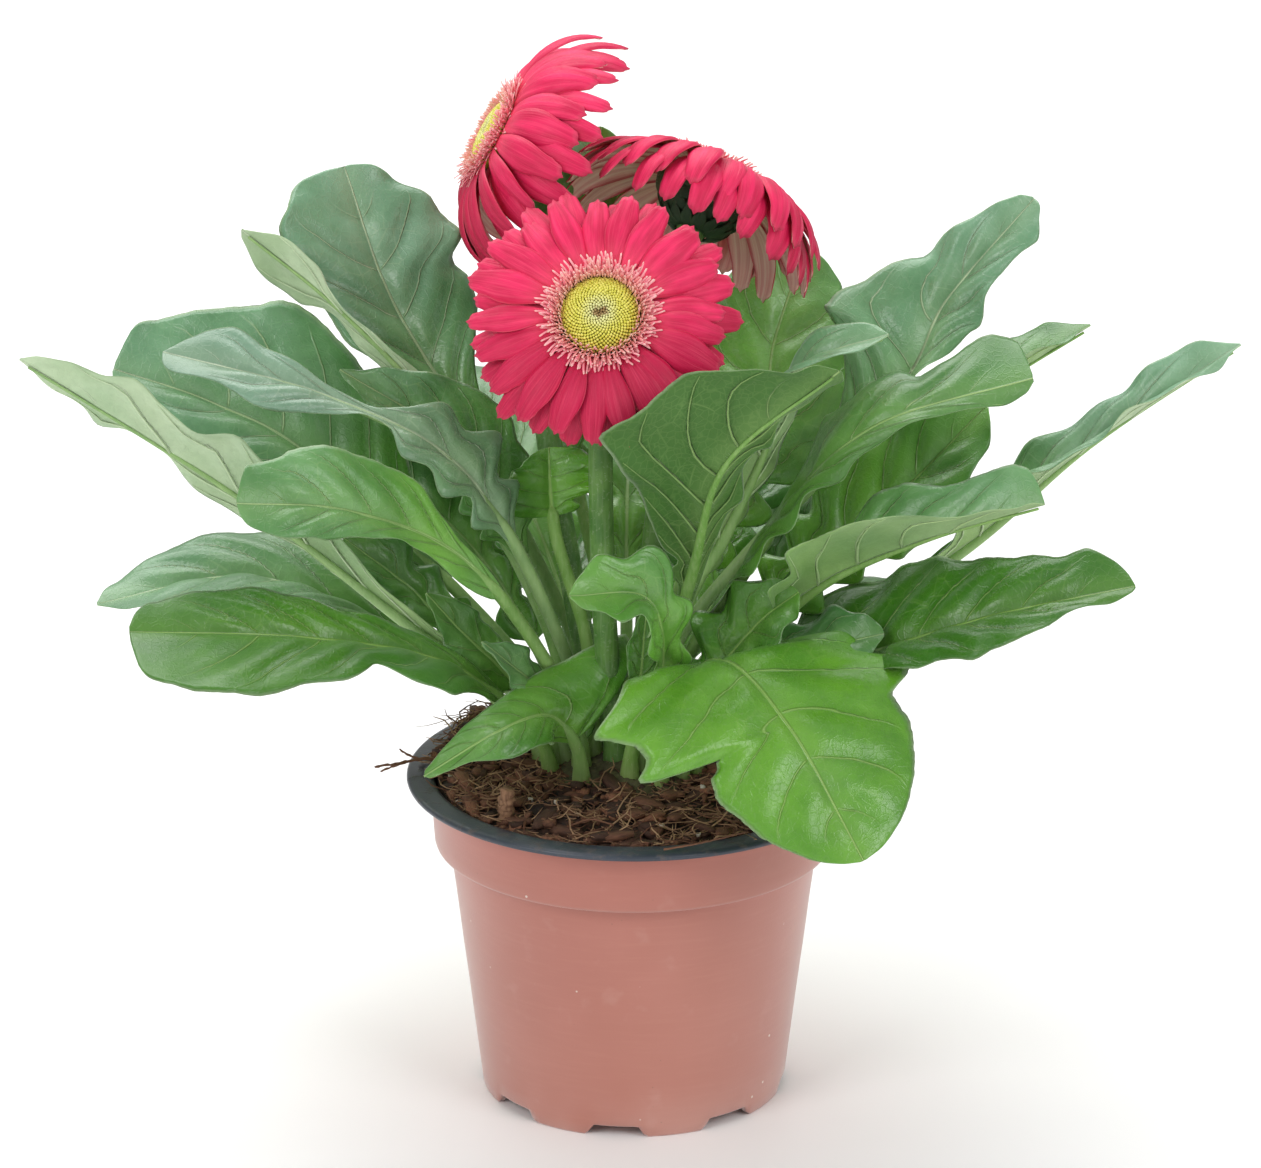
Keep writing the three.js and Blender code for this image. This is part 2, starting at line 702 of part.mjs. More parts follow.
// The small florets between the rays and the disc: short three-sided horns that lean outward.
function fringe(flower) {
  const horns = [ringOf(HEAD.fringeRing, HEAD.seat, HEAD.fringeTop, 20)];
  for (let k = 0; k < HEAD.fringeFlorets; k++) {
    const turn = (k * 2 * Math.PI) / HEAD.fringeFlorets;
    const reach = HEAD.fringeReach * mix(0.7, 1.1, draw(k + 3));
    const lean = rad(mix(28, 52, draw(k + 31)));
    const out = HEAD.fringeRing[1] - HEAD.floretSunk;
    const rings = [[0, 1], [1, 0.8]].map(([s, size]) => {
      const height = HEAD.fringeTop - 0.8 + Math.sin(lean) * reach * s;
      const middle = round(out + Math.cos(lean) * reach * s, turn, height);
      return [0, 1, 2].map((c) => {
        const corner = (c * 2 * Math.PI) / 3;
        const side = round(HEAD.floretRadius * size * Math.cos(corner), turn + Math.PI / 2, 0);
        const rise = round(-Math.sin(lean), turn, Math.cos(lean));
        rise.multiplyScalar(HEAD.floretRadius * size * Math.sin(corner));
        return middle.clone().add(side).add(rise);
      });
    });
    horns.push(lofted(rings));
  }
  return onHead(join(horns), flower);
}

// The disc: a low dome that dips in the middle, with its florets as rows of small bosses in spirals.
function disc(flower) {
  const sides = 16;
  const radii = [1, 0.9, 0.74, 0.56, 0.38, 0.18];
  const rings = [circleOf(HEAD.discRadius - 0.4, sides, () => HEAD.seat)];
  for (const share of radii) {
    const height = (turn) => {
      const boss = Math.cos(5 * turn + share * 24) * Math.cos(3 * turn - share * 30);
      return HEAD.discRise * (1 - share ** 4) * smooth(-0.45, 0.4, share) + 0.3 * boss;
    };
    rings.push(circleOf(HEAD.discRadius * share, sides, height));
  }
  return onHead(lofted(rings), flower);
}

function circleOf(r, sides, height) {
  return Array.from({ length: sides }, (_, j) => {
    const turn = (j * 2 * Math.PI) / sides;
    return round(r, turn, height(turn));
  });
}

function stemCurve(flower) {
  const frame = headFrame(flower);
  const back = vec([0, 0, HEAD.seat - HEAD.cupDepth - 4]).applyMatrix4(frame);
  const top = vec([0, 0, HEAD.seat - HEAD.cupDepth + 3]).applyMatrix4(frame);
  const points = [seatAt(flower.seat, STEM.seatDepth), ...flower.stem.map(vec), back, top];
  return new THREE.CatmullRomCurve3(points, false, "centripetal");
}

// The stem and the green cup of bracts that it ends in are one piece.
function stem(flower) {
  const depth = HEAD.cupDepth;
  const sides = 2 * HEAD.cupBracts;
  const levels = [[0, 1], [0.28, 0.97], [0.6, 0.72], [0.85, 0.42], [1, 0.27]];
  const rings = levels.map(([down, size]) => {
    return Array.from({ length: sides }, (_, j) => {
      const notch = j % 2 ? 0.9 : 1;
      const turn = (-j * 2 * Math.PI) / sides;
      return round(HEAD.cupRadius * size * notch, turn, HEAD.seat - GAP - depth * down);
    });
  });
  return bar(stemCurve(flower), STEM.radius, STEM.steps, STEM.sides).add(onHead(lofted(rings), flower));
}

// ---------------------------------------------------------------- assembly

function colour(hex, roughness) {
  return new THREE.MeshStandardMaterial({ color: hex, roughness, metalness: 0 });
}

const MATERIAL = {
  pot: colour(0xb9705f, 0.45),
  soil: colour(0x3b2317, 0.95),
  crown: colour(0x5d7a35, 0.7),
  leaf: colour(0x4f8a3c, 0.4),
  stem: colour(0x7f9e62, 0.6),
  ray: colour(0xe02a55, 0.55),
  fringe: colour(0xee7f8e, 0.6),
  disc: colour(0xd8d34e, 0.7),
};

function mesh(name, solid, material) {
  const piece = new THREE.Mesh(geometryOf(solid), material);
  piece.name = name;
  return piece;
}

// The holes that stalks and stems stand in, in the crown and the soil alike.
function holes() {
  const stalks = Object.values(LEAVES).map((leaf) => leafSpine({ ...LEAF_DEFAULTS, ...leaf }));
  const stems = Object.values(FLOWERS).map((flower) => {
    return { curve: stemCurve(flower), firstStep: 1 / STEM.steps };
  });
  return join([
    ...stalks.map((stalk) => hole(stalk, LEAF.stalkRadius)),
    ...stems.map((stem) => hole(stem, STEM.radius)),
  ]);
}

const plant = new THREE.Group();
const seats = holes();
plant.add(mesh("pot", pot(), MATERIAL.pot));
plant.add(mesh("soil", soil().subtract(crownBody(GAP)).subtract(seats), MATERIAL.soil));
plant.add(mesh("crown", crownBody(0).subtract(seats), MATERIAL.crown));
for (const [name, leaf] of Object.entries(LEAVES)) {
  plant.add(mesh(name, leafSolid({ ...LEAF_DEFAULTS, ...leaf }), MATERIAL.leaf));
}
for (const [name, flower] of Object.entries(FLOWERS)) {
  plant.add(mesh(`stem_${name}`, stem(flower), MATERIAL.stem));
  plant.add(mesh(`rays_${name}`, rays(flower), MATERIAL.ray));
  plant.add(mesh(`fringe_${name}`, fringe(flower), MATERIAL.fringe));
  plant.add(mesh(`disc_${name}`, disc(flower), MATERIAL.disc));
}

export default plant;
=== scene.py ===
import math

import bmesh
import bpy
import numpy as np
from bpy.props import FloatProperty, FloatVectorProperty, IntProperty, PointerProperty
from mathutils import Matrix, Vector, noise


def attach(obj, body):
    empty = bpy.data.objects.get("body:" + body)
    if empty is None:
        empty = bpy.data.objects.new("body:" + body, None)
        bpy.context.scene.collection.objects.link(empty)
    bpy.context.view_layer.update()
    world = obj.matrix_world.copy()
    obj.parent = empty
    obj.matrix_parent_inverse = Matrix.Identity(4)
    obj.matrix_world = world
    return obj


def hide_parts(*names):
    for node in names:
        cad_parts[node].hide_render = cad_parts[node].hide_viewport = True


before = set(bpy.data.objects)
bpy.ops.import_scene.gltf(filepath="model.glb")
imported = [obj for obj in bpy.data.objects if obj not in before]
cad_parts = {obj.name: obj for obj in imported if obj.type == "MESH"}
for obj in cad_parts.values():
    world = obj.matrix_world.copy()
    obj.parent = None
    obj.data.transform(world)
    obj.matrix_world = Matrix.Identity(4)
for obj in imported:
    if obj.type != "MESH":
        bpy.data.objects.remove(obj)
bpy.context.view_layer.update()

bl_info = {
    "name": "Potted Gerbera",
    "version": (1, 0, 0),
    "blender": (4, 5, 0),
    "location": "3D View > Sidebar > Gerbera",
    "description": "Builds a potted gerbera: its pot, soil, leaves and flower heads, and a plain stage",
    "category": "Add Mesh",
}

MM = 0.001  # the shapes below are worked out in millimetres and the meshes are in metres


def smooth(low, high, x):
    t = np.clip((np.asarray(x, float) - low) / (high - low), 0.0, 1.0)
    return t * t * (3.0 - 2.0 * t)


def through(table, x):
    """A smooth line through (x, y) pairs that never runs past them."""
    xs, ys = np.array(table, float).T
    steps = np.diff(xs)
    slopes = np.diff(ys) / steps
    both = slopes[1:] * slopes[:-1]
    turning = np.where(both > 0, 2 * both / np.where(both > 0, slopes[1:] + slopes[:-1], 1), 0)
    tangents = np.concatenate([slopes[:1], turning, slopes[-1:]])
    i = np.clip(np.searchsorted(xs, x, side="right") - 1, 0, len(xs) - 2)
    w, step = np.clip((x - xs[i]) / steps[i], 0, 1), steps[i]
    start, end = tangents[i] * step, tangents[i + 1] * step
    rise = ys[i + 1] - ys[i]
    return ys[i] + start * w + (3 * rise - 2 * start - end) * w**2 + (start + end - 2 * rise) * w**3


def mix(a, b, t):
    return a + (b - a) * t


# ---------------------------------------------------------------- node graphs


class Link:
    """A node's output. Python sums on it add Math nodes, or Vector Math nodes where it is a vector."""

    def __init__(self, graph, socket):
        self.graph = graph
        self.socket = socket

    def __add__(self, other):
        return self.graph.sum("ADD", self, other)

    def __radd__(self, other):
        return self.graph.sum("ADD", other, self)

    def __sub__(self, other):
        return self.graph.sum("SUBTRACT", self, other)

    def __rsub__(self, other):
        return self.graph.sum("SUBTRACT", other, self)

    def __mul__(self, other):
        return self.graph.sum("MULTIPLY", self, other)

    def __rmul__(self, other):
        return self.graph.sum("MULTIPLY", other, self)

    def __truediv__(self, other):
        return self.graph.sum("DIVIDE", self, other)

    def __rtruediv__(self, other):
        return self.graph.sum("DIVIDE", other, self)

    def __pow__(self, other):
        return self.graph.sum("POWER", self, other)

    def __neg__(self):
        return self.graph.sum("MULTIPLY", self, -1.0)

    def __abs__(self):
        return self.graph.sum("ABSOLUTE", self)


class Graph:
    """A node tree that is written as Python expressions."""

    def __init__(self, tree):
        self.tree = tree

    def node(self, kind, settings=None, inputs=None, output=None):
        """Adds any node: its settings first, then the values or links of its sockets. Returns one output."""
        made = self.tree.nodes.new(kind)
        for name, value in (settings or {}).items():
            setattr(made, name, value)
        for name, value in (inputs or {}).items():
            self.plug(self.socket(made.inputs, name), value)
        if not len(made.outputs):
            return made
        return Link(self, made.outputs[0] if output is None else self.socket(made.outputs, output))

    @staticmethod
    def socket(sockets, name):
        if isinstance(name, int):
            return sockets[name]
        named = [s for s in sockets if name in (s.identifier, s.name)]
        return next((s for s in named if s.enabled), named[0])

    def plug(self, socket, value):
        if isinstance(value, Link):
            self.tree.links.new(value.socket, socket)
        elif isinstance(value, (int, float)) and hasattr(socket.default_value, "__len__"):
            socket.default_value = [value] * len(socket.default_value)
        else:
            socket.default_value = value

    def other(self, link, name):
        """Another output of the node that a link comes from."""
        return Link(self, self.socket(link.socket.node.outputs, name))

    def sum(self, operation, *values):
        is_vector = any(isinstance(v, Link) and v.socket.type == "VECTOR" for v in values)
        is_vector = is_vector or any(isinstance(v, tuple) for v in values)
        kind = "ShaderNodeVectorMath" if is_vector else "ShaderNodeMath"
        return self.node(kind, {"operation": operation}, dict(enumerate(values)))

    def least(self, a, b):
        return self.sum("MINIMUM", a, b)

    def most(self, a, b):
        return self.sum("MAXIMUM", a, b)

    def sin(self, angle):
        return self.sum("SINE", angle)

    def cos(self, angle):
        return self.sum("COSINE", angle)

    def ease(self, value, low, high, to_low=0.0, to_high=1.0):
        """A smooth step from to_low to to_high while value goes from low to high."""
        inputs = {"Value": value, "From Min": low, "From Max": high, "To Min": to_low, "To Max": to_high}
        return self.node("ShaderNodeMapRange", {"interpolation_type": "SMOOTHSTEP"}, inputs, "Result")

    def fade(self, value, low, high):
        """A smooth step from 1 to 0 while value goes from low to high."""
        return 1 - self.ease(value, low, high)

    def parts(self, vector):
        split = self.node("ShaderNodeSeparateXYZ", None, {0: vector})
        return split, self.other(split, "Y"), self.other(split, "Z")

    def vector(self, x, y, z):
        return self.node("ShaderNodeCombineXYZ", None, {"X": x, "Y": y, "Z": z})

    def blend(self, factor, a, b):
        """Mixes two colours, each a link or its red, green and blue."""
        a, b = (c if isinstance(c, Link) else (*c[:3], 1.0) for c in (a, b))
        inputs = {"Factor_Float": factor, "A_Color": a, "B_Color": b}
        return self.node("ShaderNodeMix", {"data_type": "RGBA"}, inputs, "Result_Color")

    def between(self, factor, a, b):
        """Mixes two numbers."""
        inputs = {"Factor_Float": factor, "A_Float": a, "B_Float": b}
        return self.node("ShaderNodeMix", {"data_type": "FLOAT"}, inputs, "Result_Float")


class Finish(Graph):
    """A material that is written as Python expressions."""

    def __init__(self, name):
        self.material = bpy.data.materials.new(name)
        self.material.use_nodes = True
        super().__init__(self.material.node_tree)
        self.tree.nodes.clear()
        self.place = self.node("ShaderNodeTexCoord", None, None, "Object")
        self.colour = None

    def noise(self, scale, detail=2.0, rough=0.5, at=None):
        inputs = {"Vector": at or self.place, "Scale": scale, "Detail": detail, "Roughness": rough}
        return self.node("ShaderNodeTexNoise", None, inputs, "Fac")

    def cells(self, scale, feature="F1", at=None):
        inputs = {"Vector": at or self.place, "Scale": scale}
        return self.node("ShaderNodeTexVoronoi", {"feature": feature}, inputs, "Distance")

    def streaks(self, scale, detail=2.0, rough=0.5, at=None):
        """Noise that is stretched: scale has a number for each axis."""
        inputs = {"Vector": at or self.place, "Scale": scale}
        return self.noise(1.0, detail, rough, self.node("ShaderNodeMapping", None, inputs))

    def attribute(self, name, output="Fac"):
        return self.node("ShaderNodeAttribute", {"attribute_name": name}, None, output)

    def bump(self, height, depth, strength=1.0):
        inputs = {"Height": height, "Distance": depth, "Strength": strength}
        return self.node("ShaderNodeBump", None, inputs)

    def coat(self, factor, colour):
        """Lays a colour over the material's colour so far, by a factor."""
        self.colour = self.blend(factor, self.colour, colour)

    def surface(self, roughness, normal=None, **fixed):
        """Ends the material in a Principled shader with the colour so far."""
        inputs = {"Base Color": self.colour, "Roughness": roughness, **fixed}
        if normal is not None:
            inputs["Normal"] = normal
        shader = self.node("ShaderNodeBsdfPrincipled", None, inputs)
        self.node("ShaderNodeOutputMaterial", None, {"Surface": shader})
        return self.material


class Growth(Graph):
    """A Geometry Nodes tree with named inputs, whose result becomes a plain mesh."""

    KINDS = {bool: "Bool", int: "Int", float: "Float"}

    def __init__(self, name, sockets):
        super().__init__(bpy.data.node_groups.new(name, "GeometryNodeTree"))
        face = self.tree.interface
        face.new_socket("Geometry", in_out="OUTPUT", socket_type="NodeSocketGeometry")
        self.names = {}
        for label, default in sockets.items():
            kind = self.KINDS.get(type(default), default)
            item = face.new_socket(label, in_out="INPUT", socket_type="NodeSocket" + kind)
            if kind != default:
                item.default_value = default
            self.names[label] = item.identifier
        self.entry = self.tree.nodes.new("NodeGroupInput")

    def __getitem__(self, label):
        """The link of a named input."""
        return Link(self, self.socket(self.entry.outputs, self.names[label]))

    def store(self, geometry, name, value):
        inputs = {"Geometry": geometry, "Name": name, "Value": value}
        is_vector = isinstance(value, Link) and value.socket.type == "VECTOR"
        settings = {"data_type": "FLOAT_VECTOR" if is_vector else "FLOAT", "domain": "POINT"}
        return self.node("GeometryNodeStoreNamedAttribute", settings, inputs, "Geometry")

    def attribute(self, name, data_type="FLOAT"):
        settings = {"data_type": data_type}
        return self.node("GeometryNodeInputNamedAttribute", settings, {"Name": name}, "Attribute")

    def chances(self, seed):
        """Three random numbers from 0 to 1, as a vector."""
        inputs = {"Min": (0, 0, 0), "Max": (1, 1, 1), "Seed": seed}
        return self.node("FunctionNodeRandomValue", {"data_type": "FLOAT_VECTOR"}, inputs, "Value")

    def index(self):
        return self.node("GeometryNodeInputIndex")

    def position(self):
        return self.node("GeometryNodeInputPosition")

    def block(self, x, y):
        """A unit cube that is cut into a grid of x by y points on two layers."""
        inputs = {"Size": (1, 1, 1), "Vertices X": x, "Vertices Y": y, "Vertices Z": 2}
        return self.node("GeometryNodeMeshCube", None, inputs, "Mesh")

    def points(self, count):
        return self.node("GeometryNodePoints", None, {"Count": count})

    def moved(self, geometry, position):
        return self.node("GeometryNodeSetPosition", None, {"Geometry": geometry, "Position": position})

    def placed(self, points, instance, rotation=None, scale=None):
        inputs = {"Points": points, "Instance": instance}
        if rotation is not None:
            inputs["Rotation"] = rotation
        if scale is not None:
            inputs["Scale"] = scale
        return self.node("GeometryNodeInstanceOnPoints", None, inputs)

    def realized(self, geometry):
        return self.node("GeometryNodeRealizeInstances", None, {"Geometry": geometry})

    def joined(self, *geometries):
        node = self.tree.nodes.new("GeometryNodeJoinGeometry")
        for geometry in reversed(geometries):
            self.tree.links.new(geometry.socket, node.inputs[0])
        return Link(self, node.outputs[0])

    def finish(self, geometry, material):
        even = self.node("GeometryNodeSetShadeSmooth", None, {"Geometry": self.realized(geometry)})
        coated = self.node("GeometryNodeSetMaterial", None, {"Geometry": even, "Material": material})
        self.tree.links.new(coated.socket, self.tree.nodes.new("NodeGroupOutput").inputs[0])

    def grow(self, name, values, start=None, frame_matrix=None):
        """The plain mesh object that this tree makes from input values, by their names."""
        host = new_object(name, start or bpy.data.meshes.new(name))
        modifier = host.modifiers.new("growth", "NODES")
        modifier.node_group = self.tree
        for label, value in values.items():
            modifier[self.names[label]] = value
        view = bpy.context.evaluated_depsgraph_get()
        grown = bpy.data.meshes.new_from_object(
            host.evaluated_get(view), preserve_all_data_layers=True, depsgraph=view
        )
        host.modifiers.clear()
        host.data = grown
        grown.name = name
        if frame_matrix is not None:
            grown.transform(frame_matrix)
        return host


# ---------------------------------------------------------------- meshes and pieces


def new_object(name, mesh):
    made = bpy.data.objects.new(name, mesh)
    bpy.context.scene.collection.objects.link(made)
    return made


def fitted(piece, slot, *nodes):
    """Puts a finished piece on the pot's body and hides the solids it stands for; its material slot is not
    used.
    """
    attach(piece, "root")
    if nodes:
        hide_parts(*nodes)
    return piece


class Shell:
    """Collects points in millimetres, faces and per-point values, and makes them a mesh."""

    def __init__(self):
        self.points = []
        self.faces = []
        self.finish = []
        self.values = {}
        self.count = 0

    def add(self, points, faces, finish=0, **values):
        points = np.asarray(points, float).reshape(-1, 3)
        faces = [np.asarray(f) + self.count for f in faces]
        self.points.append(points)
        self.faces += faces
        self.finish += [finish] * len(faces)
        for name, value in values.items():
            value = np.asarray(value, float).reshape(len(points), -1)
            self.values.setdefault(name, []).append((self.count, value))
        self.count += len(points)

    def mesh(self, name, materials, smooth_shaded=True):
        mesh = bpy.data.meshes.new(name)
        points = np.vstack(self.points) * MM
        mesh.from_pydata(points.tolist(), [], [f.tolist() for f in self.faces])
        for material in materials:
            mesh.materials.append(material)
        mesh.polygons.foreach_set("material_index", self.finish)
        for value_name, runs in self.values.items():
            width = runs[0][1].shape[1]
            whole = np.zeros((self.count, width))
            for at, value in runs:
                whole[at : at + len(value)] = value
            if width == 2:
                corners = np.zeros(len(mesh.loops), int)
                mesh.loops.foreach_get("vertex_index", corners)
                layer = mesh.uv_layers.new(name=value_name)
                layer.data.foreach_set("uv", whole[corners].astype(np.float32).ravel())
            else:
                kind = "FLOAT" if width == 1 else "FLOAT_VECTOR"
                field = "value" if width == 1 else "vector"
                data = mesh.attributes.new(value_name, kind, "POINT").data
                data.foreach_set(field, whole.astype(np.float32).ravel())
        mesh.update()
        if smooth_shaded:
            mesh.polygons.foreach_set("use_smooth", [True] * len(mesh.polygons))
        return mesh


def grid_faces(rows, columns, wrap=False, flip=False):
    """Quads over rows of points, closed round each row if wrap."""
    i = np.arange(rows - 1)[:, None]
    j = np.arange(columns if wrap else columns - 1)[None, :]
    a = i * columns + j
    b = i * columns + (j + 1) % columns
    quads = np.stack([a, b, b + columns, a + columns], -1).reshape(-1, 4)
    return list(quads[:, ::-1] if flip else quads)


def closed_faces(rows, columns):
    """Quads round rows of points, with a cap at either end."""
    caps = [np.arange(columns)[::-1], np.arange(columns) + (rows - 1) * columns]
    return grid_faces(rows, columns, wrap=True) + caps


def turned(rows, turn):
    """Rings of points about the Z axis, one for each radius and height (or heights) of rows."""
    return np.array([np.stack([r * np.cos(turn), r * np.sin(turn), z + 0 * turn], -1) for r, z in rows])


def full_turn(count):
    return np.arange(count) * 2 * math.pi / count


def cross_frames(path):
    """Tangents and two steady cross directions along a path of points."""
    tangents = np.gradient(path, axis=0)
    tangents /= np.linalg.norm(tangents, axis=1)[:, None]
    side = np.cross(tangents[0], [0.3, 0.9, 0.31])
    sides = []
    for tangent in tangents:
        side = side - tangent * (side @ tangent)
        side = side / np.linalg.norm(side)
        sides.append(side)
    sides = np.array(sides)
    return tangents, sides, np.cross(tangents, sides)


def tube(path, radii, sides, flutes=0, flute_depth=0.0):
    """The points and faces of a closed round bar along a path."""
    path = np.asarray(path, float)
    _, across, over = cross_frames(path)
    turn = full_turn(sides)
    radii = np.asarray(radii, float)[:, None, None]
    shape = 1 + flute_depth * np.cos(flutes * turn)[None, :, None]
    ring = across[:, None] * np.cos(turn)[None, :, None] + over[:, None] * np.sin(turn)[None, :, None]
    points = path[:, None] + ring * radii * shape
    return points.reshape(-1, 3), closed_faces(len(path), sides)


class Spine:
    """A Catmull-Rom curve through points, measured along its length."""

    def __init__(self, points, centripetal=False):
        points = np.array(points, float)
        ends = [2 * points[0] - points[1]], [2 * points[-1] - points[-2]]
        self.points = np.vstack([ends[0], points, ends[1]])
        self.centripetal = centripetal
        self.steps = np.linspace(0, 1, 201)
        chords = np.linalg.norm(np.diff(self.raw(self.steps), axis=0), axis=1)
        self.lengths = np.concatenate([[0], np.cumsum(chords)])
        self.length = self.lengths[-1]

    def raw(self, t):
        t = np.asarray(t, float)
        spans = len(self.points) - 3
        i = np.clip((t * spans).astype(int), 0, spans - 1)
        w = (t * spans - i)[..., None]
        p0, p1, p2, p3 = (self.points[i + k] for k in range(4))
        if self.centripetal:
            d0, d1, d2 = (
                np.maximum(np.linalg.norm(b - a, axis=-1, keepdims=True), 1e-9) ** 0.5
                for a, b in ((p0, p1), (p1, p2), (p2, p3))
            )
            m1 = ((p1 - p0) / d0 - (p2 - p0) / (d0 + d1) + (p2 - p1) / d1) * d1
            m2 = ((p2 - p1) / d1 - (p3 - p1) / (d1 + d2) + (p3 - p2) / d2) * d1
        else:
            m1, m2 = 0.5 * (p2 - p0), 0.5 * (p3 - p1)
        curve = p1 + m1 * w
        return curve + (-3 * p1 + 3 * p2 - 2 * m1 - m2) * w**2 + (2 * p1 - 2 * p2 + m1 + m2) * w**3

    def parameter(self, u):
        return np.interp(np.clip(u, 0, 1) * self.length, self.lengths, self.steps)

    def at(self, u):
        return self.raw(self.parameter(u))

    def along(self, u):
        t = self.parameter(u)
        way = self.raw(np.minimum(t + 1e-4, 1)) - self.raw(np.maximum(t - 1e-4, 0))
        return way / np.linalg.norm(way, axis=-1, keepdims=True)


# ---------------------------------------------------------------- the plant's plan, in millimetres

POT_SEGMENTS = 192
POT_OUTSIDE = (  # radius and height, from the middle of the foot outwards and up to the lip
    (0, 0), (21, 0), (22, 0), (22.6, 0.5), (25.0, 4.0), (25.8, 4.4), (30, 4.4), (39, 4.4), (44.0, 4.4),
    (44.6, 3.6), (44.7, 2), (44.8, 0), (46.7, 0), (47.2, 0.6), (47.63, 4.2), (48.2, 9), (49.4, 19),
    (51.2, 34), (53.1, 49), (55, 65), (56.6, 77.5), (56.85, 79.6), (57.3, 80.3), (58.4, 80.5), (60.6, 80.6),
    (61.2, 80.9), (61.5, 81.8), (61.75, 85), (62.1, 91), (62.5, 98), (62.7, 100), (63.1, 100.6),
)
POT_INSIDE = (  # on round the dark lip, down the wall and in to the middle
    (68.4, 100.7), (69.3, 100.8), (69.8, 101.1), (70, 101.6), (69.95, 102.1), (69.5, 102.6), (68.8, 102.8),
    (68, 102.95), (66, 102.95), (63.2, 102.95), (62.1, 102.7), (61.4, 101.9), (61.2, 100), (60.5, 90),
    (60.1, 84), (59.6, 83.2), (56.4, 82.6), (55.7, 81.9), (52, 50), (48, 20), (46, 6.5), (45.2, 5.7),
    (38, 5.7), (30, 5.7), (25.8, 5.7), (24.8, 5.2), (22, 1.8), (21, 1.3), (0, 1.3),
)
FOOT_RADIUS = 46.0
FOOT_NOTCHES = 8
NOTCH_START = -0.15  # the first notch's turn from the front, as a share of the space between two
NOTCH_WIDTHS = (6.5, 9.5)  # half widths at its top and at the ground
NOTCH_HEIGHT = 3.6
DRAINS = {"radius": 3.4, "circle": 34.5, "count": 4, "start": 0.35}
SOIL_SIDE = ((1, 1.7), (20.6, 1.7), (24.8, 6.1), (45.3, 6.1), (55.3, 82.3), (59.5, 83.6), (60.6, 99))
SOIL_BANK = math.radians(140)
SOIL_EDGE = 59.0  # lumps are half as high beyond this radius
CROWN = {"middle": (-3.0, 0.0), "radius": 27.5, "bottom": 97.0, "edge": 104.5, "top": 112.0}
SEAT_DEPTH = 6.0
STALK_RADIUS = 1.95
RIB_TIP_RADIUS = 0.4
FOOT_FLARE = 0.75  # how much wider a stalk's foot is, fading within the next length
FLARE_LENGTH = 9.0
VEIN_SWEEP = 0.24  # how far up the blade a side vein runs, as a share of the blade
FULL_PITCH = 15.0  # side veins that are closer than this stand in less relief
WIDEST = 0.62  # where a lobed blade is widest, as a share of the blade
CURL = 0.12  # how far a blade bows across, as a share of its half width
BLADE_GRIDS = {"whole": (90, 31), "plain": (76, 27), "small": (46, 17)}  # rows and columns
STEM_RADIUS = 3.7
RAY_ROOT = 13.4
RAY_HIDDEN = 2.2  # the part of a petal's length that is under the fringe
HEAD_SIDES = 48
DISC_RADIUS = 11.3
DISC_RISE = 3.6
DISC_DIP = (-0.45, 0.4)  # the disc's height eases in between these shares of its radius
GOLDEN_TURN = 2.399963
CUP_SEAT = -3.3
CUP_DEPTH = 15.0
CUP_RADIUS = 17.0
CUP_LEVELS = ((0.0, 1.0), (0.28, 0.97), (0.6, 0.72), (0.85, 0.42), (1.0, 0.27))
STEM_ENDS = (-22.0, -15.0)  # the last two points of a stem, below its head
WALL_REACH = (0.0598, 0.014)  # in metres: how far out bits lie in the pot, and how much farther on its rim
RIM_HEIGHTS = (0.1032, 0.1046)
LITTER_SEED = 5
QUADRATURE = ((0.1127, 5 / 18), (0.5, 8 / 18), (0.8873, 5 / 18))  # places and weights of a three-point sum


def soil_height(r, turn):
    """The height of the soil: a low mound with a bank towards the back left, and lumps."""
    inward = 1 - (r / 62.6) ** 2
    bank = 7.5 * np.maximum(0, np.cos(turn - SOIL_BANK)) ** 3 * smooth(20, 58, r)
    coarse = np.sin(3 * turn + r * 0.31) + np.cos(7 * turn - r * 0.23)
    fine = np.sin(11 * turn + r * 0.5)
    return 100 + 5.5 * inward + bank + 1.6 / 3 * (coarse + fine)


def crown_height(r):
    return mix(CROWN["top"], CROWN["edge"], np.minimum(1, r / CROWN["radius"]) ** 2)


def seat_at(seat, depth):
    ring, heading = seat[0], math.radians(seat[1])
    x, y = CROWN["middle"]
    return np.array([x + ring * math.cos(heading), y + ring * math.sin(heading), crown_height(ring) - depth])


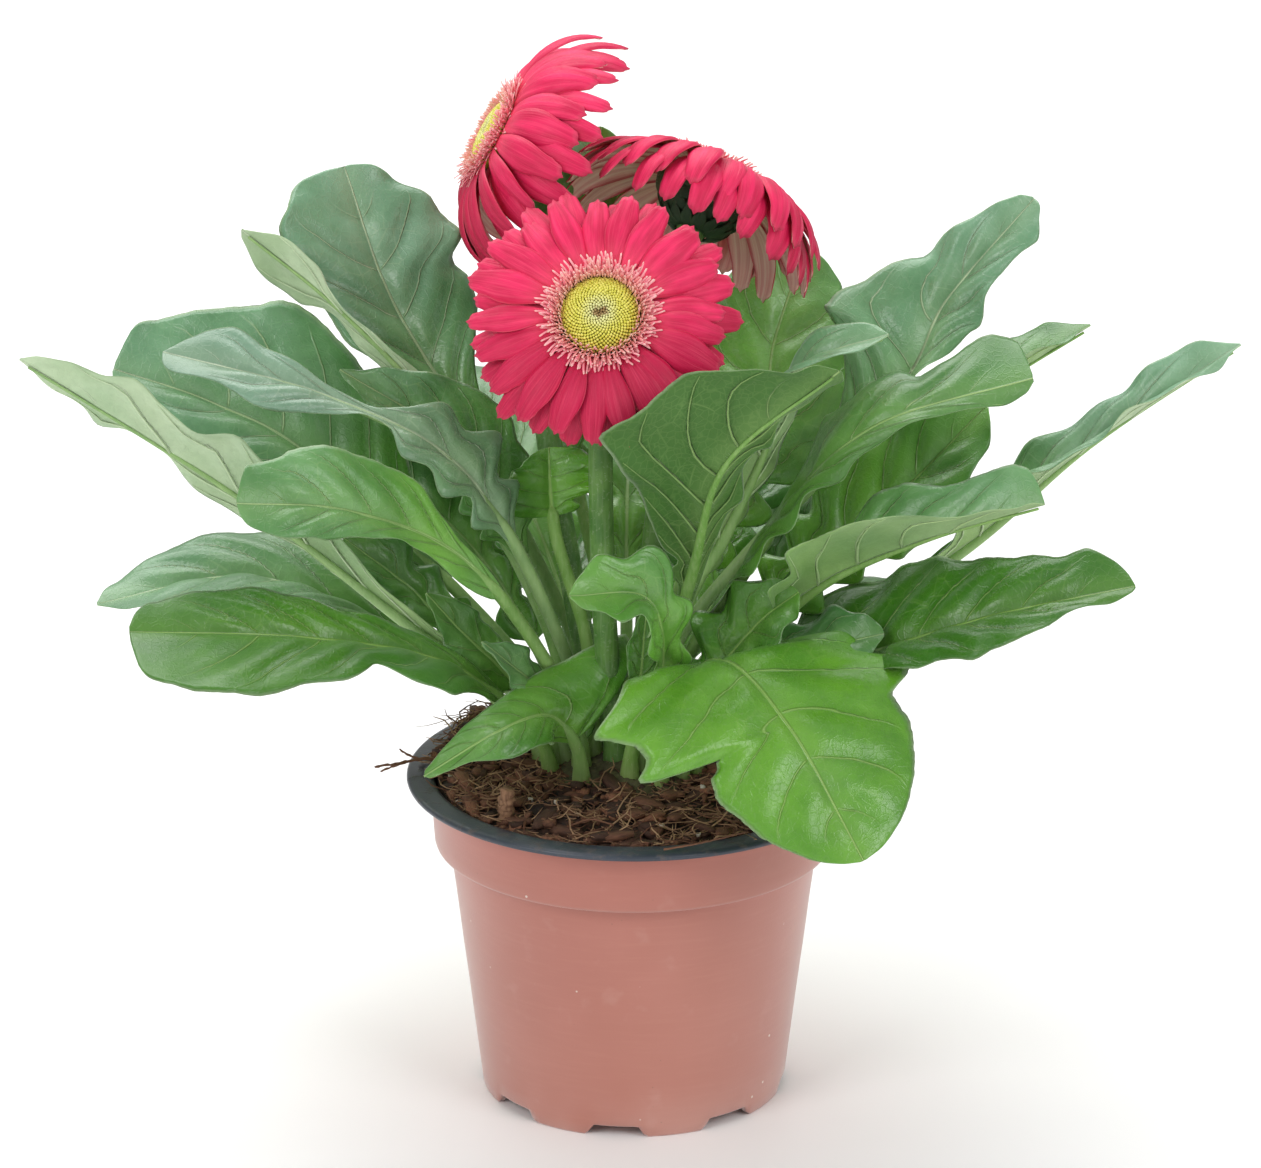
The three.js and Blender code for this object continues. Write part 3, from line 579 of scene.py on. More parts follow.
# Each leaf: where its stalk stands in the crown (ring, heading), its knee, middle and tip, the way its upper
# side faces, and how yellow, grey and dark its tint is. A leaf with left and right has those half widths at
# shares of its blade, as seen from the stalk; any other has a lobed outline from its width and the defaults.
# The first of two folds is the left one.
LEAVES = {
    "back_left_tall": dict(
        seat=(15, 128), line=((-50, 36, 200), (-75, 56, 238), (-90, 74, 275)), face=(0.35, -0.8, 0.5),
        start=0.8, tint=(0.15, 0.75, 0.0),
        left=((0, 2), (0.2, 6), (0.35, 12), (0.47, 18), (0.54, 22.5), (0.64, 24), (0.74, 29), (0.81, 32),
              (0.87, 31), (0.92, 26), (0.97, 21), (0.99, 16), (1, 8)),
        right=((0, 2), (0.2, 6), (0.35, 12), (0.43, 18), (0.5, 24), (0.59, 25.5), (0.66, 23), (0.72, 28),
               (0.8, 24.5), (0.87, 22), (0.92, 15.5), (0.95, 13), (0.985, 8), (1, 2)),
    ),
    "back_left_pale": dict(
        seat=(18, 150), line=((-60, 25, 209), (-88, 33, 240), (-120, 40, 265)), face=(0.1, 0.9, 0.4),
        fold=(0, 8), tint=(0.3, 1.0, 0.0),
        left=((0, 2), (0.5, 2.5), (0.76, 2.5), (0.82, 6), (0.88, 7), (0.93, 5.5), (0.97, 3), (1, 0)),
        right=((0, 2), (0.35, 4), (0.61, 5.5), (0.7, 6), (0.75, 7), (0.8, 10.5), (0.865, 10.8), (0.94, 6),
               (0.99, 3), (1, 0)),
    ),
    "left_broad": dict(
        seat=(21, 163), line=((-97, 32, 192), (-129, 42, 208), (-161, 46, 218)), face=(0.2, -0.8, 0.6),
        tint=(0.15, 0.55, 0.0),
        left=((0, 2), (0.15, 7), (0.4, 16), (0.65, 18), (0.8, 13), (0.9, 7), (0.96, 4.5), (0.99, 3.8),
              (1, 1)),
        right=((0, 2), (0.15, 8), (0.3, 20), (0.45, 30), (0.58, 36), (0.64, 39), (0.68, 38), (0.75, 32.5),
               (0.825, 27), (0.93, 20), (0.975, 16.5), (0.992, 12), (1, 3)),
    ),
    "left_grey": dict(
        seat=(12, 178), line=((-50, -8, 202), (-92, -4, 226), (-142, -2, 239)), face=(0.1, -0.5, 0.85),
        start=0.75, fold=(12, 10), wave=0.8, tint=(0.0, 1.0, 0.1),
        left=((0, 2), (0.06, 4), (0.12, 12), (0.17, 6), (0.24, 15), (0.3, 9), (0.37, 12), (0.44, 3),
              (0.49, 3), (0.553, 6.5), (0.647, 11.5), (0.759, 14.5), (0.818, 11), (0.871, 8.5),
              (0.941, 8.8), (0.976, 7.8), (0.994, 5), (1, 0.5)),
        right=((0, 2), (0.05, 5), (0.1, 14), (0.15, 8), (0.21, 19), (0.28, 11), (0.34, 15), (0.42, 6),
               (0.5, 2.5), (0.59, 3.5), (0.68, 7), (0.77, 10), (0.812, 13.5), (0.841, 14.8), (0.9, 12.5),
               (0.944, 8.2), (0.984, 2.5), (1, 0.3)),
    ),
    "left_far": dict(
        seat=(17, 190), line=((-68, -6, 154), (-117, -18, 198), (-183, -24, 244)), face=(0.2, 0.8, 0.5),
        fold=(4, 14), wave=1.2, tint=(0.1, 1.0, 0.0),
        left=((0, 2), (0.25, 5), (0.45, 14), (0.6, 20), (0.645, 23), (0.7, 15.5), (0.77, 16), (0.83, 19),
              (0.88, 12), (0.945, 8.5), (0.98, 5.5), (1, 0.5)),
        right=((0, 2), (0.3, 6), (0.53, 10), (0.61, 11), (0.7, 6), (0.76, 3), (0.785, 5), (0.823, 11),
               (0.863, 6), (0.9, 3.4), (0.943, 3), (1, 0.3)),
    ),
    "left_front": dict(
        seat=(15, 214), line=((-50, -24, 180), (-84, -46, 204), (-117, -60, 211)), face=(0, -0.7, 0.72),
        start=0.8, fold=(0, 10), wave=1.2, tint=(0.45, 0.25, 0.1),
        left=((0, 2), (0.1, 6), (0.2, 7.5), (0.3, 6), (0.42, 6), (0.6, 7.8), (0.76, 11), (0.885, 11.6),
              (0.97, 7.5), (0.995, 3.8), (1, 0.5)),
        right=((0, 2), (0.23, 4), (0.32, 8), (0.4, 14), (0.49, 18), (0.62, 19), (0.73, 18.8), (0.82, 17),
               (0.85, 14.8), (0.953, 12.8), (0.975, 9), (1, 1.5)),
    ),
    "left_low": dict(
        seat=(24, 176), line=((-72, 14, 144), (-118, 8, 164), (-164, -2, 158)), face=(0, -0.15, 0.98),
        wave=1.2, tint=(0.3, 0.5, 0.15),
        left=((0, 2), (0.14, 5), (0.23, 10), (0.355, 11.5), (0.475, 18), (0.59, 27), (0.77, 26), (0.87, 20),
              (0.935, 16), (0.975, 6), (1, 0.8)),
        right=((0, 2), (0.2, 9), (0.43, 18.5), (0.53, 24.5), (0.63, 22), (0.72, 18.5), (0.79, 16.5),
               (0.87, 13.5), (0.925, 10.5), (0.97, 6.5), (1, 0.8)),
    ),
    "left_lowest": dict(
        seat=(23, 200), line=((-56, -23, 147), (-100, -48, 165), (-150, -56, 169)), face=(0, -0.4, 0.9),
        wave=1.2, tint=(0.7, 0.0, 0.72),
        left=((0, 2), (0.12, 8), (0.22, 18), (0.3, 24), (0.38, 23), (0.43, 18), (0.475, 16), (0.52, 21),
              (0.57, 25), (0.635, 27), (0.76, 35), (0.85, 34.5), (0.92, 31.5), (0.97, 26), (0.99, 19),
              (1, 6)),
        right=((0, 2), (0.2, 6), (0.38, 10), (0.6, 16.5), (0.84, 15), (0.95, 11.5), (0.985, 7), (1, 2)),
    ),
    "over_rim": dict(
        seat=(22, 235), line=((-26, -28, 132), (-42, -43, 132), (-63, -51, 121)), face=(-0.1, -0.75, 0.65),
        start=0.55, fold=(0, 0), wave=0.6, tint=(0.3, 0.1, 0.25),
        left=((0, 2), (0.1, 6), (0.25, 9.5), (0.45, 10.5), (0.57, 10.2), (0.78, 4.5), (0.98, 1.5), (1, 0)),
        right=((0, 3), (0.05, 14), (0.1, 30), (0.133, 34.5), (0.16, 27.5), (0.21, 17.5), (0.34, 11),
               (0.6, 8), (0.8, 5), (0.98, 1.5), (1, 0)),
    ),
    "front": dict(
        seat=(21, 300), line=((26, -36, 153), (47.5, -62, 140), (68, -86, 108)), face=(-0.08, 0.32, 0.92),
        face_tip=(0.35, -0.6, 0.7), start=0.87, pitch=0.19, fold=(12, -20), wave=0.9, tint=(0.95, 0.0, 0.1),
        left=((0, 2), (0.06, 3), (0.1, 8), (0.13, 31), (0.195, 45.5), (0.27, 45), (0.4, 51.5), (0.46, 46),
              (0.525, 36), (0.6, 36), (0.68, 34), (0.78, 28.5), (0.88, 21), (0.95, 13), (0.985, 7), (1, 1)),
        right=((0, 4), (0.03, 29), (0.107, 43), (0.18, 55), (0.26, 51), (0.34, 45.5), (0.39, 46),
               (0.435, 51), (0.458, 43), (0.472, 25), (0.5, 26), (0.53, 29.5), (0.6, 30.5), (0.67, 29),
               (0.8, 23.5), (0.93, 12.5), (0.98, 6), (1, 1)),
    ),
    "right_low": dict(
        seat=(22, 338), line=((56, -8, 138), (106, -30, 164.5), (151, -30, 174)), face=(0.05, -0.45, 0.9),
        start=0.8, wave=1.2, tint=(0.65, 0.0, 0.9),
        left=((0, 2), (0.05, 18), (0.1, 28), (0.2, 28), (0.285, 27), (0.343, 29.5), (0.44, 27.8),
              (0.54, 23), (0.645, 21), (0.755, 18), (0.83, 14.7), (0.895, 15.5), (0.93, 12.8), (0.963, 9.8),
              (0.99, 4.5), (1, 0.5)),
        right=((0, 2), (0.2, 7), (0.35, 15), (0.455, 19.5), (0.505, 16.5), (0.55, 18), (0.595, 20.5),
               (0.633, 17), (0.675, 17), (0.743, 13.8), (0.82, 7.5), (0.9, 5), (0.955, 4.2), (0.99, 2.5),
               (1, 0.5)),
    ),
    "right_pale": dict(
        seat=(15, 332), line=((51, -11, 165), (85, -22, 186), (123, -32, 201)), face=(-0.1, -0.2, 0.95),
        start=0.7, fold=(40, 48), wave=1.0, tint=(0.75, 0.4, 0.0),
        left=((0, 2), (0.2, 8), (0.3, 13), (0.38, 11), (0.46, 16), (0.53, 20), (0.593, 20.5), (0.65, 18.5),
              (0.72, 16), (0.78, 14.5), (0.85, 15), (0.91, 14.5), (0.963, 13), (0.99, 7), (1, 1)),
        right=((0, 2), (0.08, 12), (0.13, 8), (0.21, 21), (0.27, 17), (0.35, 31), (0.41, 29), (0.5, 34),
               (0.57, 34.5), (0.63, 32), (0.69, 20), (0.74, 10), (0.8, 7.5), (0.9, 7.5), (0.97, 5),
               (1, 0.5)),
    ),
    "right_far": dict(
        seat=(20, 8), line=((99, 12, 171), (138, 14, 204), (185, 18, 235)), face=(0, 0.1, 0.95),
        face_tip=(-0.3, -0.35, 0.85), twist=(0.4, 0.8), start=0.75, fold=(32, 35), wave=2.6,
        tint=(0.3, 0.85, 0.0),
        left=((0, 2), (0.2, 4), (0.3, 10), (0.36, 15), (0.415, 15), (0.473, 13), (0.54, 11.5), (0.603, 10),
              (0.677, 12), (0.743, 9.5), (0.818, 9), (0.897, 7.5), (0.96, 4.5), (1, 0.5)),
        right=((0, 2), (0.2, 8), (0.28, 22), (0.333, 34), (0.365, 25), (0.42, 18), (0.473, 14.8),
               (0.525, 10), (0.6, 7.5), (0.7, 7), (0.76, 9), (0.82, 9), (0.88, 5.5), (0.94, 3), (1, 0.5)),
    ),
    "right_tall": dict(
        seat=(10, 45), line=((79, 26, 215), (96, 38, 243), (123, 46, 273)), face=(-0.35, -0.7, 0.6),
        start=0.75, tint=(0.1, 0.75, 0.0),
        left=((0, 2), (0.15, 8), (0.35, 23), (0.445, 31), (0.5, 33), (0.547, 32), (0.578, 26.5),
              (0.65, 19.8), (0.69, 15.5), (0.75, 14.5), (0.865, 9.5), (0.922, 7.2), (0.98, 4.6), (1, 1)),
        right=((0, 2), (0.36, 3), (0.435, 5), (0.5, 10), (0.57, 14), (0.625, 15.8), (0.725, 12.2),
               (0.79, 10.8), (0.86, 10.8), (0.912, 11), (0.973, 6), (0.993, 4), (1, 2)),
    ),
    "right_edge": dict(
        seat=(17, 36), line=((83, 50, 184), (110, 64, 205), (143, 72, 224)), face=(-0.3, 0.1, 0.95),
        fold=(30, 30), width=40, lobes=0.3, blunt=0.7, tint=(0.65, 0.2, 0.05),
    ),
    "right_arched": dict(
        seat=(12, 350), line=((44, -6, 189), (73, -10, 219), (120, -12, 234)), face=(0, 0.15, 0.95),
        face_tip=(-0.2, -0.5, 0.85), fold=(0, -20), wave=1.2, tint=(0.3, 0.15, 0.5),
        left=((0, 2), (0.07, 12), (0.12, 7), (0.19, 20), (0.25, 13), (0.33, 27), (0.4, 22), (0.48, 27),
              (0.53, 23), (0.583, 22), (0.64, 22), (0.7, 21.5), (0.75, 14), (0.823, 16.2), (0.86, 18.8),
              (0.91, 20.8), (0.955, 19.2), (0.983, 16), (0.994, 9), (1, 2)),
        right=((0, 2), (0.08, 10), (0.13, 5), (0.2, 15), (0.26, 8), (0.34, 15), (0.41, 8), (0.5, 10),
               (0.54, 7.5), (0.625, 6), (0.73, 5.5), (0.825, 5), (0.917, 5), (0.975, 4), (1, 1)),
    ),
    "right_dark": dict(
        seat=(15, 15), line=((64, 26, 168), (84, 30, 185), (109, 34, 210)), face=(-0.3, -0.6, 0.7),
        tint=(0.7, 0.1, 0.0),
        left=((0, 2), (0.07, 12), (0.12, 6), (0.19, 17), (0.25, 10), (0.33, 21), (0.39, 15), (0.48, 23),
              (0.6, 22), (0.75, 20), (0.88, 15), (0.96, 9), (1, 1)),
        right=((0, 2), (0.07, 10), (0.12, 5), (0.2, 16), (0.26, 9), (0.35, 19), (0.42, 15), (0.52, 22),
               (0.66, 22), (0.78, 19), (0.9, 13), (0.97, 7), (1, 1)),
    ),
    "back_right": dict(
        seat=(13, 68), line=((38, 44, 200), (44, 64, 222), (54, 80, 247)), face=(-0.2, -0.85, 0.45),
        width=56, blunt=0.6, tint=(1.0, 0.2, 0.0),
    ),
    "centre_grey": dict(
        seat=(9, 320), line=((36, -6, 203), (50, -14, 238), (76, -22, 251)), face=(-0.4, 0.6, 0.6),
        face_tip=(-0.2, -0.3, 0.9), twist=(0.45, 0.85), start=0.62, fold=(20, 20), wave=0.8,
        tint=(0.3, 0.6, 0.0),
        left=((0, 2), (0.07, 8), (0.12, 4), (0.2, 14), (0.26, 9), (0.34, 18), (0.41, 13), (0.5, 17),
              (0.62, 14), (0.75, 11), (0.88, 7.5), (0.96, 5), (1, 0.5)),
        right=((0, 2), (0.08, 9), (0.14, 5), (0.22, 16), (0.28, 10), (0.37, 19), (0.44, 14), (0.54, 16),
               (0.66, 12), (0.78, 10), (0.88, 8), (0.96, 5), (1, 0.5)),
    ),
    "centre_right": dict(
        seat=(15, 308), line=((18, -24, 178), (28, -46, 220), (60, -60, 252)), face=(0.1, 0.88, 0.42),
        start=0.75, pitch=0.118, fold=(30, -4), tint=(0.5, 0.0, 1.1),
        left=((0, 2), (0.19, 4.5), (0.26, 5.5), (0.355, 8), (0.405, 12), (0.5, 9), (0.585, 7.2),
              (0.642, 7.5), (0.677, 9.8), (0.72, 7.5), (0.765, 4.5), (0.8, 4.5), (0.823, 6.5), (0.878, 6),
              (0.968, 6.2), (1, 1.5)),
        right=((0, 2), (0.1, 3), (0.14, 7), (0.18, 5), (0.233, 11), (0.33, 16.5), (0.388, 20), (0.455, 25),
               (0.522, 33), (0.55, 39), (0.575, 37.5), (0.605, 34.5), (0.667, 32), (0.735, 29.8),
               (0.833, 20), (0.92, 11.5), (0.975, 7), (1, 1)),
    ),
    "centre_young": dict(
        seat=(17, 275), line=((9, -38, 152), (4, -50, 178), (-19, -60, 182)), face=(0.25, -0.7, 0.7),
        start=0.4, fold=(24, 24), wave=1.2, tint=(0.8, 0.1, 0.15),
        left=((0, 3), (0.08, 5), (0.14, 3.5), (0.21, 6), (0.28, 4), (0.36, 7), (0.43, 5), (0.54, 11),
              (0.6, 8), (0.7, 15), (0.77, 10), (0.86, 13.5), (0.92, 8.5), (0.97, 6), (1, 1)),
        right=((0, 3), (0.1, 5), (0.17, 3.5), (0.24, 6.5), (0.31, 4), (0.4, 8), (0.47, 5.5), (0.58, 12),
               (0.64, 8), (0.74, 15), (0.8, 10), (0.88, 12), (0.94, 7.5), (0.98, 4), (1, 1)),
    ),
    "centre_lobed": dict(
        seat=(10, 205), line=((-15, 1, 148), (-24, 8, 178), (-26, 12, 204)), face=(0.2, -0.9, 0.3),
        start=1.85, pitch=0.23, tint=(0.65, 0.0, 0.2),
        left=((0, 5), (0.1, 13), (0.3, 17), (0.42, 16.5), (0.6, 14), (0.8, 10), (0.93, 7), (1, 1)),
        right=((0, 6), (0.12, 9), (0.22, 7), (0.4, 15), (0.6, 15), (0.75, 14), (0.9, 11.5), (0.97, 8),
               (1, 2)),
    ),
    "centre_left": dict(
        seat=(16, 164), line=((-36, 15, 172), (-55, 20, 203), (-90, 24, 225)), face=(0.15, -0.75, 0.65),
        start=0.92, tint=(0.2, 0.35, 0.3),
        left=((0, 2), (0.1, 5), (0.15, 11), (0.2, 7), (0.28, 13), (0.35, 9), (0.5, 12), (0.65, 11),
              (0.8, 8), (0.95, 3), (1, 0.3)),
        right=((0, 2), (0.1, 5), (0.16, 12), (0.22, 9), (0.3, 16), (0.38, 15), (0.46, 19), (0.61, 16.8),
               (0.735, 11.8), (0.875, 7.2), (0.97, 2), (1, 0.3)),
    ),
    "back_tall": dict(
        seat=(17, 95), line=((-20, 46, 197), (-18, 68, 245), (-10, 84, 285)), face=(0, -0.9, 0.4),
        start=0.8, width=40, tint=(0.5, 0.0, 0.5),
    ),
    "back_1": dict(
        seat=(22, 88), line=((-2, 62, 170), (0, 105, 190), (2, 150, 186)), face=(0, -0.45, 0.9), width=44,
    ),
    "back_2": dict(
        seat=(19, 62), line=((28, 55, 165), (52, 92, 190), (78, 130, 196)), face=(-0.2, -0.4, 0.9),
        width=50,
    ),
    "back_3": dict(
        seat=(20, 118), line=((-32, 55, 168), (-56, 92, 190), (-80, 128, 190)), face=(0.2, -0.4, 0.9),
        width=50,
    ),
    "back_4": dict(
        seat=(23, 42), line=((46, 46, 148), (72, 66, 166), (100, 88, 170)), face=(-0.3, -0.3, 0.9),
        width=46,
    ),
    "back_5": dict(
        seat=(23, 135), line=((-46, 44, 155), (-78, 70, 176), (-112, 94, 180)), face=(0.3, -0.3, 0.9),
        width=48,
    ),
    "back_low_1": dict(
        seat=(24, 74), line=((16, 62, 132), (26, 110, 148), (36, 160, 136)), face=(0, -0.2, 1), width=48,
    ),
    "back_low_2": dict(
        seat=(24, 103), line=((-20, 62, 132), (-34, 110, 146), (-46, 158, 134)), face=(0, -0.2, 1),
        width=48,
    ),
    "back_low_3": dict(
        seat=(24, 22), line=((52, 30, 128), (92, 50, 140), (134, 68, 130)), face=(-0.1, -0.1, 1), width=44,
    ),
    "back_low_4": dict(
        seat=(24, 149), line=((-56, 28, 128), (-98, 46, 140), (-142, 60, 130)), face=(0.1, -0.1, 1),
        width=44,
    ),
    "small_left": dict(
        seat=(20, 188), line=((-40, -6, 138), (-52, -10, 152), (-63, -14, 166)), face=(0.3, -0.8, 0.5),
        start=0.5, pitch=0.22, wave=1.8, width=16, lobes=0.9, base=0.7, blunt=0.8, grid="small",
        tint=(0.4, 0.1, 0.5),
    ),
    "small_curl": dict(
        seat=(10, 190), line=((-54, 8, 145), (-70, 9, 161), (-89, 8, 176)), face=(0.15, -0.6, 0.8),
        start=0.75, pitch=0.2, fold=(20, 12), wave=2.4, tint=(0.5, 0.1, 0.55),
        left=((0, 2), (0.1, 6), (0.17, 3.5), (0.28, 10), (0.35, 5), (0.48, 13), (0.56, 8), (0.68, 13.5),
              (0.78, 9), (0.88, 9.5), (0.96, 5), (1, 1)),
        right=((0, 2), (0.13, 6), (0.2, 3.5), (0.32, 11), (0.4, 6), (0.53, 13), (0.62, 8), (0.73, 12),
               (0.82, 7.5), (0.92, 7), (0.98, 3), (1, 1)),
    ),
    "small_inner": dict(
        seat=(16, 218), line=((-21, -14, 128), (-33, -20, 142), (-46, -24, 154)), face=(0.1, -0.5, 0.85),
        start=0.45, pitch=0.22, wave=1.8, width=16, lobes=0.9, base=0.7, blunt=0.8, grid="small",
        tint=(0.4, 0.3, 0.3),
    ),
    "small_right": dict(
        seat=(16, 330), line=((25, -13, 140), (38, -17, 158), (50, -21, 169)), face=(-0.2, -0.75, 0.6),
        start=0.42, pitch=0.2, wave=1.8, tint=(0.7, 0.0, 0.45),
        left=((0, 3), (0.1, 8), (0.17, 4.5), (0.3, 13), (0.37, 6.5), (0.53, 17), (0.62, 11), (0.73, 16),
              (0.84, 9.5), (0.94, 7), (0.985, 3), (1, 1)),
        right=((0, 3), (0.13, 7), (0.21, 4), (0.34, 12), (0.42, 7), (0.57, 16), (0.66, 10), (0.78, 14),
               (0.87, 8), (0.96, 6), (0.99, 3), (1, 1)),
    ),
    "small_dark": dict(
        seat=(14, 292), line=((2, -15, 134), (3, -17, 148), (4, -18, 164)), face=(0.5, -0.8, 0.1),
        start=0.6, wave=1, width=13, lobes=0.1, grid="small", tint=(0.3, 0.0, 0.9),
    ),
    "small_low": dict(
        seat=(21, 322), line=((36, -14, 136), (56, -17, 149), (76, -20, 155)), face=(0.1, -0.45, 0.85),
        start=0.5, pitch=0.2, wave=1.8, tint=(0.2, 0.3, 0.55),
        left=((0, 3), (0.12, 8), (0.2, 5), (0.32, 13), (0.4, 8), (0.55, 16), (0.64, 11), (0.76, 14),
              (0.86, 9), (0.95, 6), (0.99, 3), (1, 1)),
        right=((0, 3), (0.1, 7), (0.17, 4), (0.28, 11), (0.36, 7), (0.5, 15), (0.6, 10), (0.72, 15),
               (0.83, 10), (0.93, 7), (0.985, 3), (1, 1)),
    ),
}
LEAF_DEFAULTS = dict(
    twist=(0.15, 0.9), start=0.55, pitch=0.145, fold=(14, 14), wave=2.0, lobes=0.6, base=0.4, blunt=0.55,
    grid="plain", tint=(0.3, 0.35, 0.2),
)

FLOWERS = {
    "front": dict(
        middle=(-10, -28, 259), face=(-0.03, -0.8, 0.6), seat=(8, 256),
        stem=((-9, -12, 160), (-10, -12, 215)),
        rays=26.8, rise=2, bend=38, droop=22, droop_heading=-90, spread=0.085, seed=4,
    ),
    "left": dict(
        middle=(-42, 48, 293), face=(-0.87, -0.02, 0.49), seat=(6, 150),
        stem=((-17, 9, 150), (-29, 37, 230)),
        rays=36, rise=0, bend=90, droop=6, droop_heading=-90, spread=0.055, seed=11,
    ),
    "right": dict(
        middle=(24, 46, 279), face=(0.36, 0.57, 0.74), seat=(5, 20),
        stem=((5, 8, 160), (12, 22, 225)),
        rays=34, rise=7, bend=88, droop=34, droop_heading=135, spread=0.055, seed=23,
    ),
}


def head_matrix(flower):
    """The place of a flower head: X is its right, Y its upper side and Z the way it faces. In metres."""
    facing = Vector(flower["face"]).normalized()
    right = Vector((0, 0, 1)).cross(facing).normalized()
    up = facing.cross(right)
    turned = Matrix((right, up, facing)).transposed().to_4x4()
    return Matrix.Translation(Vector(flower["middle"]) * MM) @ turned


def stem_spine(flower):
    head = np.array(head_matrix(flower))
    points = [seat_at(flower["seat"], SEAT_DEPTH), *flower["stem"]]
    for depth in STEM_ENDS:
        points.append(head[:3, 3] / MM + head[:3, 2] * depth)
    return Spine(points, centripetal=True)


# ---------------------------------------------------------------- leaves


def leaf_spine(leaf):
    base = seat_at(leaf["seat"], SEAT_DEPTH)
    knee, middle, tip = (np.array(p, float) for p in leaf["line"])
    height = max(mix(base[2], knee[2], 0.38), base[2] + 17)
    rise = np.array([*mix(base[:2], knee[:2], 0.17), height])
    spine = Spine([base, rise, knee, middle, tip])
    to_knee = np.linalg.norm(base - rise) + np.linalg.norm(rise - knee)
    return spine, leaf["start"] * to_knee / spine.length


def leaf_frames(leaf, spine, start, t):
    """Points along a leaf's spine with its own way along, across and up, and its share of the blade."""
    s = np.maximum(0, (t - start) / (1 - start))
    face, face_tip = np.array(leaf["face"], float), np.array(leaf.get("face_tip", leaf["face"]), float)
    at, along = spine.at(t), spine.along(t)
    facing = mix(face, face_tip, smooth(*leaf["twist"], s)[..., None])
    up = facing - along * (facing * along).sum(-1, keepdims=True)
    up /= np.linalg.norm(up, axis=-1, keepdims=True)
    return s, at, along, np.cross(along, up), up


def blade_half(leaf, s, v):
    """Half the width of the blade: its own outline, or lobes near the stalk and shallow teeth beyond."""
    if "left" in leaf:
        left, right = through(leaf["left"], s), through(leaf["right"], s)
        teeth = np.sin(2 * math.pi * s * 23 + 4 * v) * np.sin(2 * math.pi * s * 7.3)
        return np.where(v < 0, left, right) * (1 + 0.007 * teeth * smooth(0.1, 0.3, s))
    beyond = np.maximum(0, (s - WIDEST) / (1 - WIDEST))
    tip = np.maximum(0, 1 - beyond**2) ** leaf["blunt"]
    body = mix(leaf["base"], 1, smooth(0, 0.55, s)) * smooth(-0.06, 0.05, s)
    turn = 2 * math.pi * s / leaf["pitch"]
    dip = (0.5 + 0.5 * np.cos(turn)) ** 1.7
    depth = leaf["lobes"] * (1 - smooth(0.3, 0.5, s))
    scallop = 0.045 * smooth(0.4, 0.6, s) * (0.5 + 0.5 * np.cos(turn)) ** 2
    teeth = 0.016 * smooth(0.1, 0.4, s) * np.sin(3.1 * turn + 2 * v)
    return leaf["width"] / 2 * body * tip * (1 - depth * dip) * (1 - scallop + teeth)


def blade_surface(leaf, spine, start, s, v, relief):
    """The middle of the blade's thickness over a grid of shares s and sides v, with its veins in relief."""
    t = start + (1 - start) * s
    s, at, _, across, up = leaf_frames(leaf, spine, start, t)
    wide = blade_half(leaf, s, v) * smooth(0, 0.03, s)
    half = np.maximum(mix(STALK_RADIUS, RIB_TIP_RADIUS, smooth(0.5, 1, s)), wide)
    spread = smooth(0, 0.2, s)
    angle = np.radians(np.where(v < 0, leaf["fold"][0], leaf["fold"][1])) * spread
    shift = np.where(v > 0, 0.3, 0.0)
    ripple = np.sin(2 * math.pi * (2.6 * s + shift))
    frill = np.sin(2 * math.pi * (6.7 * s + 1.7 * shift)) * np.abs(v) ** 3
    calm = smooth(0.1, 0.4, s) * (1 - smooth(0.92, 1, s))
    edge = leaf["wave"] * calm * (ripple * v**2 + 0.42 * frill)
    phase = (s + VEIN_SWEEP * (1 - np.abs(v) ** 1.3)) / leaf["pitch"]
    puff = np.abs(np.sin(math.pi * (phase + 0.5))) ** 0.8 * (1 - np.abs(v) ** 3)
    beside_rib = smooth(0.0, 0.16, np.abs(v))
    swell = relief * min(1, leaf["pitch"] * (1 - start) * spine.length / FULL_PITCH) * smooth(4, 14, half)
    swell = swell * beside_rib * (puff - 0.5) * (1 - smooth(0.8, 0.93, s))
    swell = swell - 0.8 * np.exp(-((half * v / 1.7) ** 2)) * smooth(0.02, 0.1, s) * (1 - smooth(0.7, 1, s))
    bow = 0.9 * (np.abs(v) - v**2) if "left" in leaf else -(v**2)
    lift = half * (np.abs(v) * np.sin(angle) + CURL * bow * spread) + edge + swell
    far = (half * v * np.cos(angle))[..., None]
    return at + across * far + up * lift[..., None], phase, half


def rib_line(leaf, spine, start, t, flare=0.0):
    """The line of a leaf's stalk and midrib, which sinks under the blade, with its radii and ways up."""
    share, at, _, _, up = leaf_frames(leaf, spine, start, t)
    radii = mix(STALK_RADIUS, RIB_TIP_RADIUS, smooth(0, 1, share) ** 0.6)
    radii = radii * (1 + flare * np.exp(-((t * spine.length / FLARE_LENGTH) ** 2)))
    sunk = (radii * 0.98 + 0.5) * smooth(0, 0.14, share)
    return at - up * sunk[:, None], radii, up


def vein_path(leaf, spine, start, number, sign, relief):
    """A side vein from the midrib to the margin: where its phase stays at number + 0.5."""
    v = np.linspace(0.03, 0.93, 9)
    s = (number + 0.5) * leaf["pitch"] - VEIN_SWEEP * (1 - v**1.3)
    if s[0] < 0.02 or s[-1] > 0.95:
        return None
    return blade_surface(leaf, spine, start, s, v * sign, relief)[0]


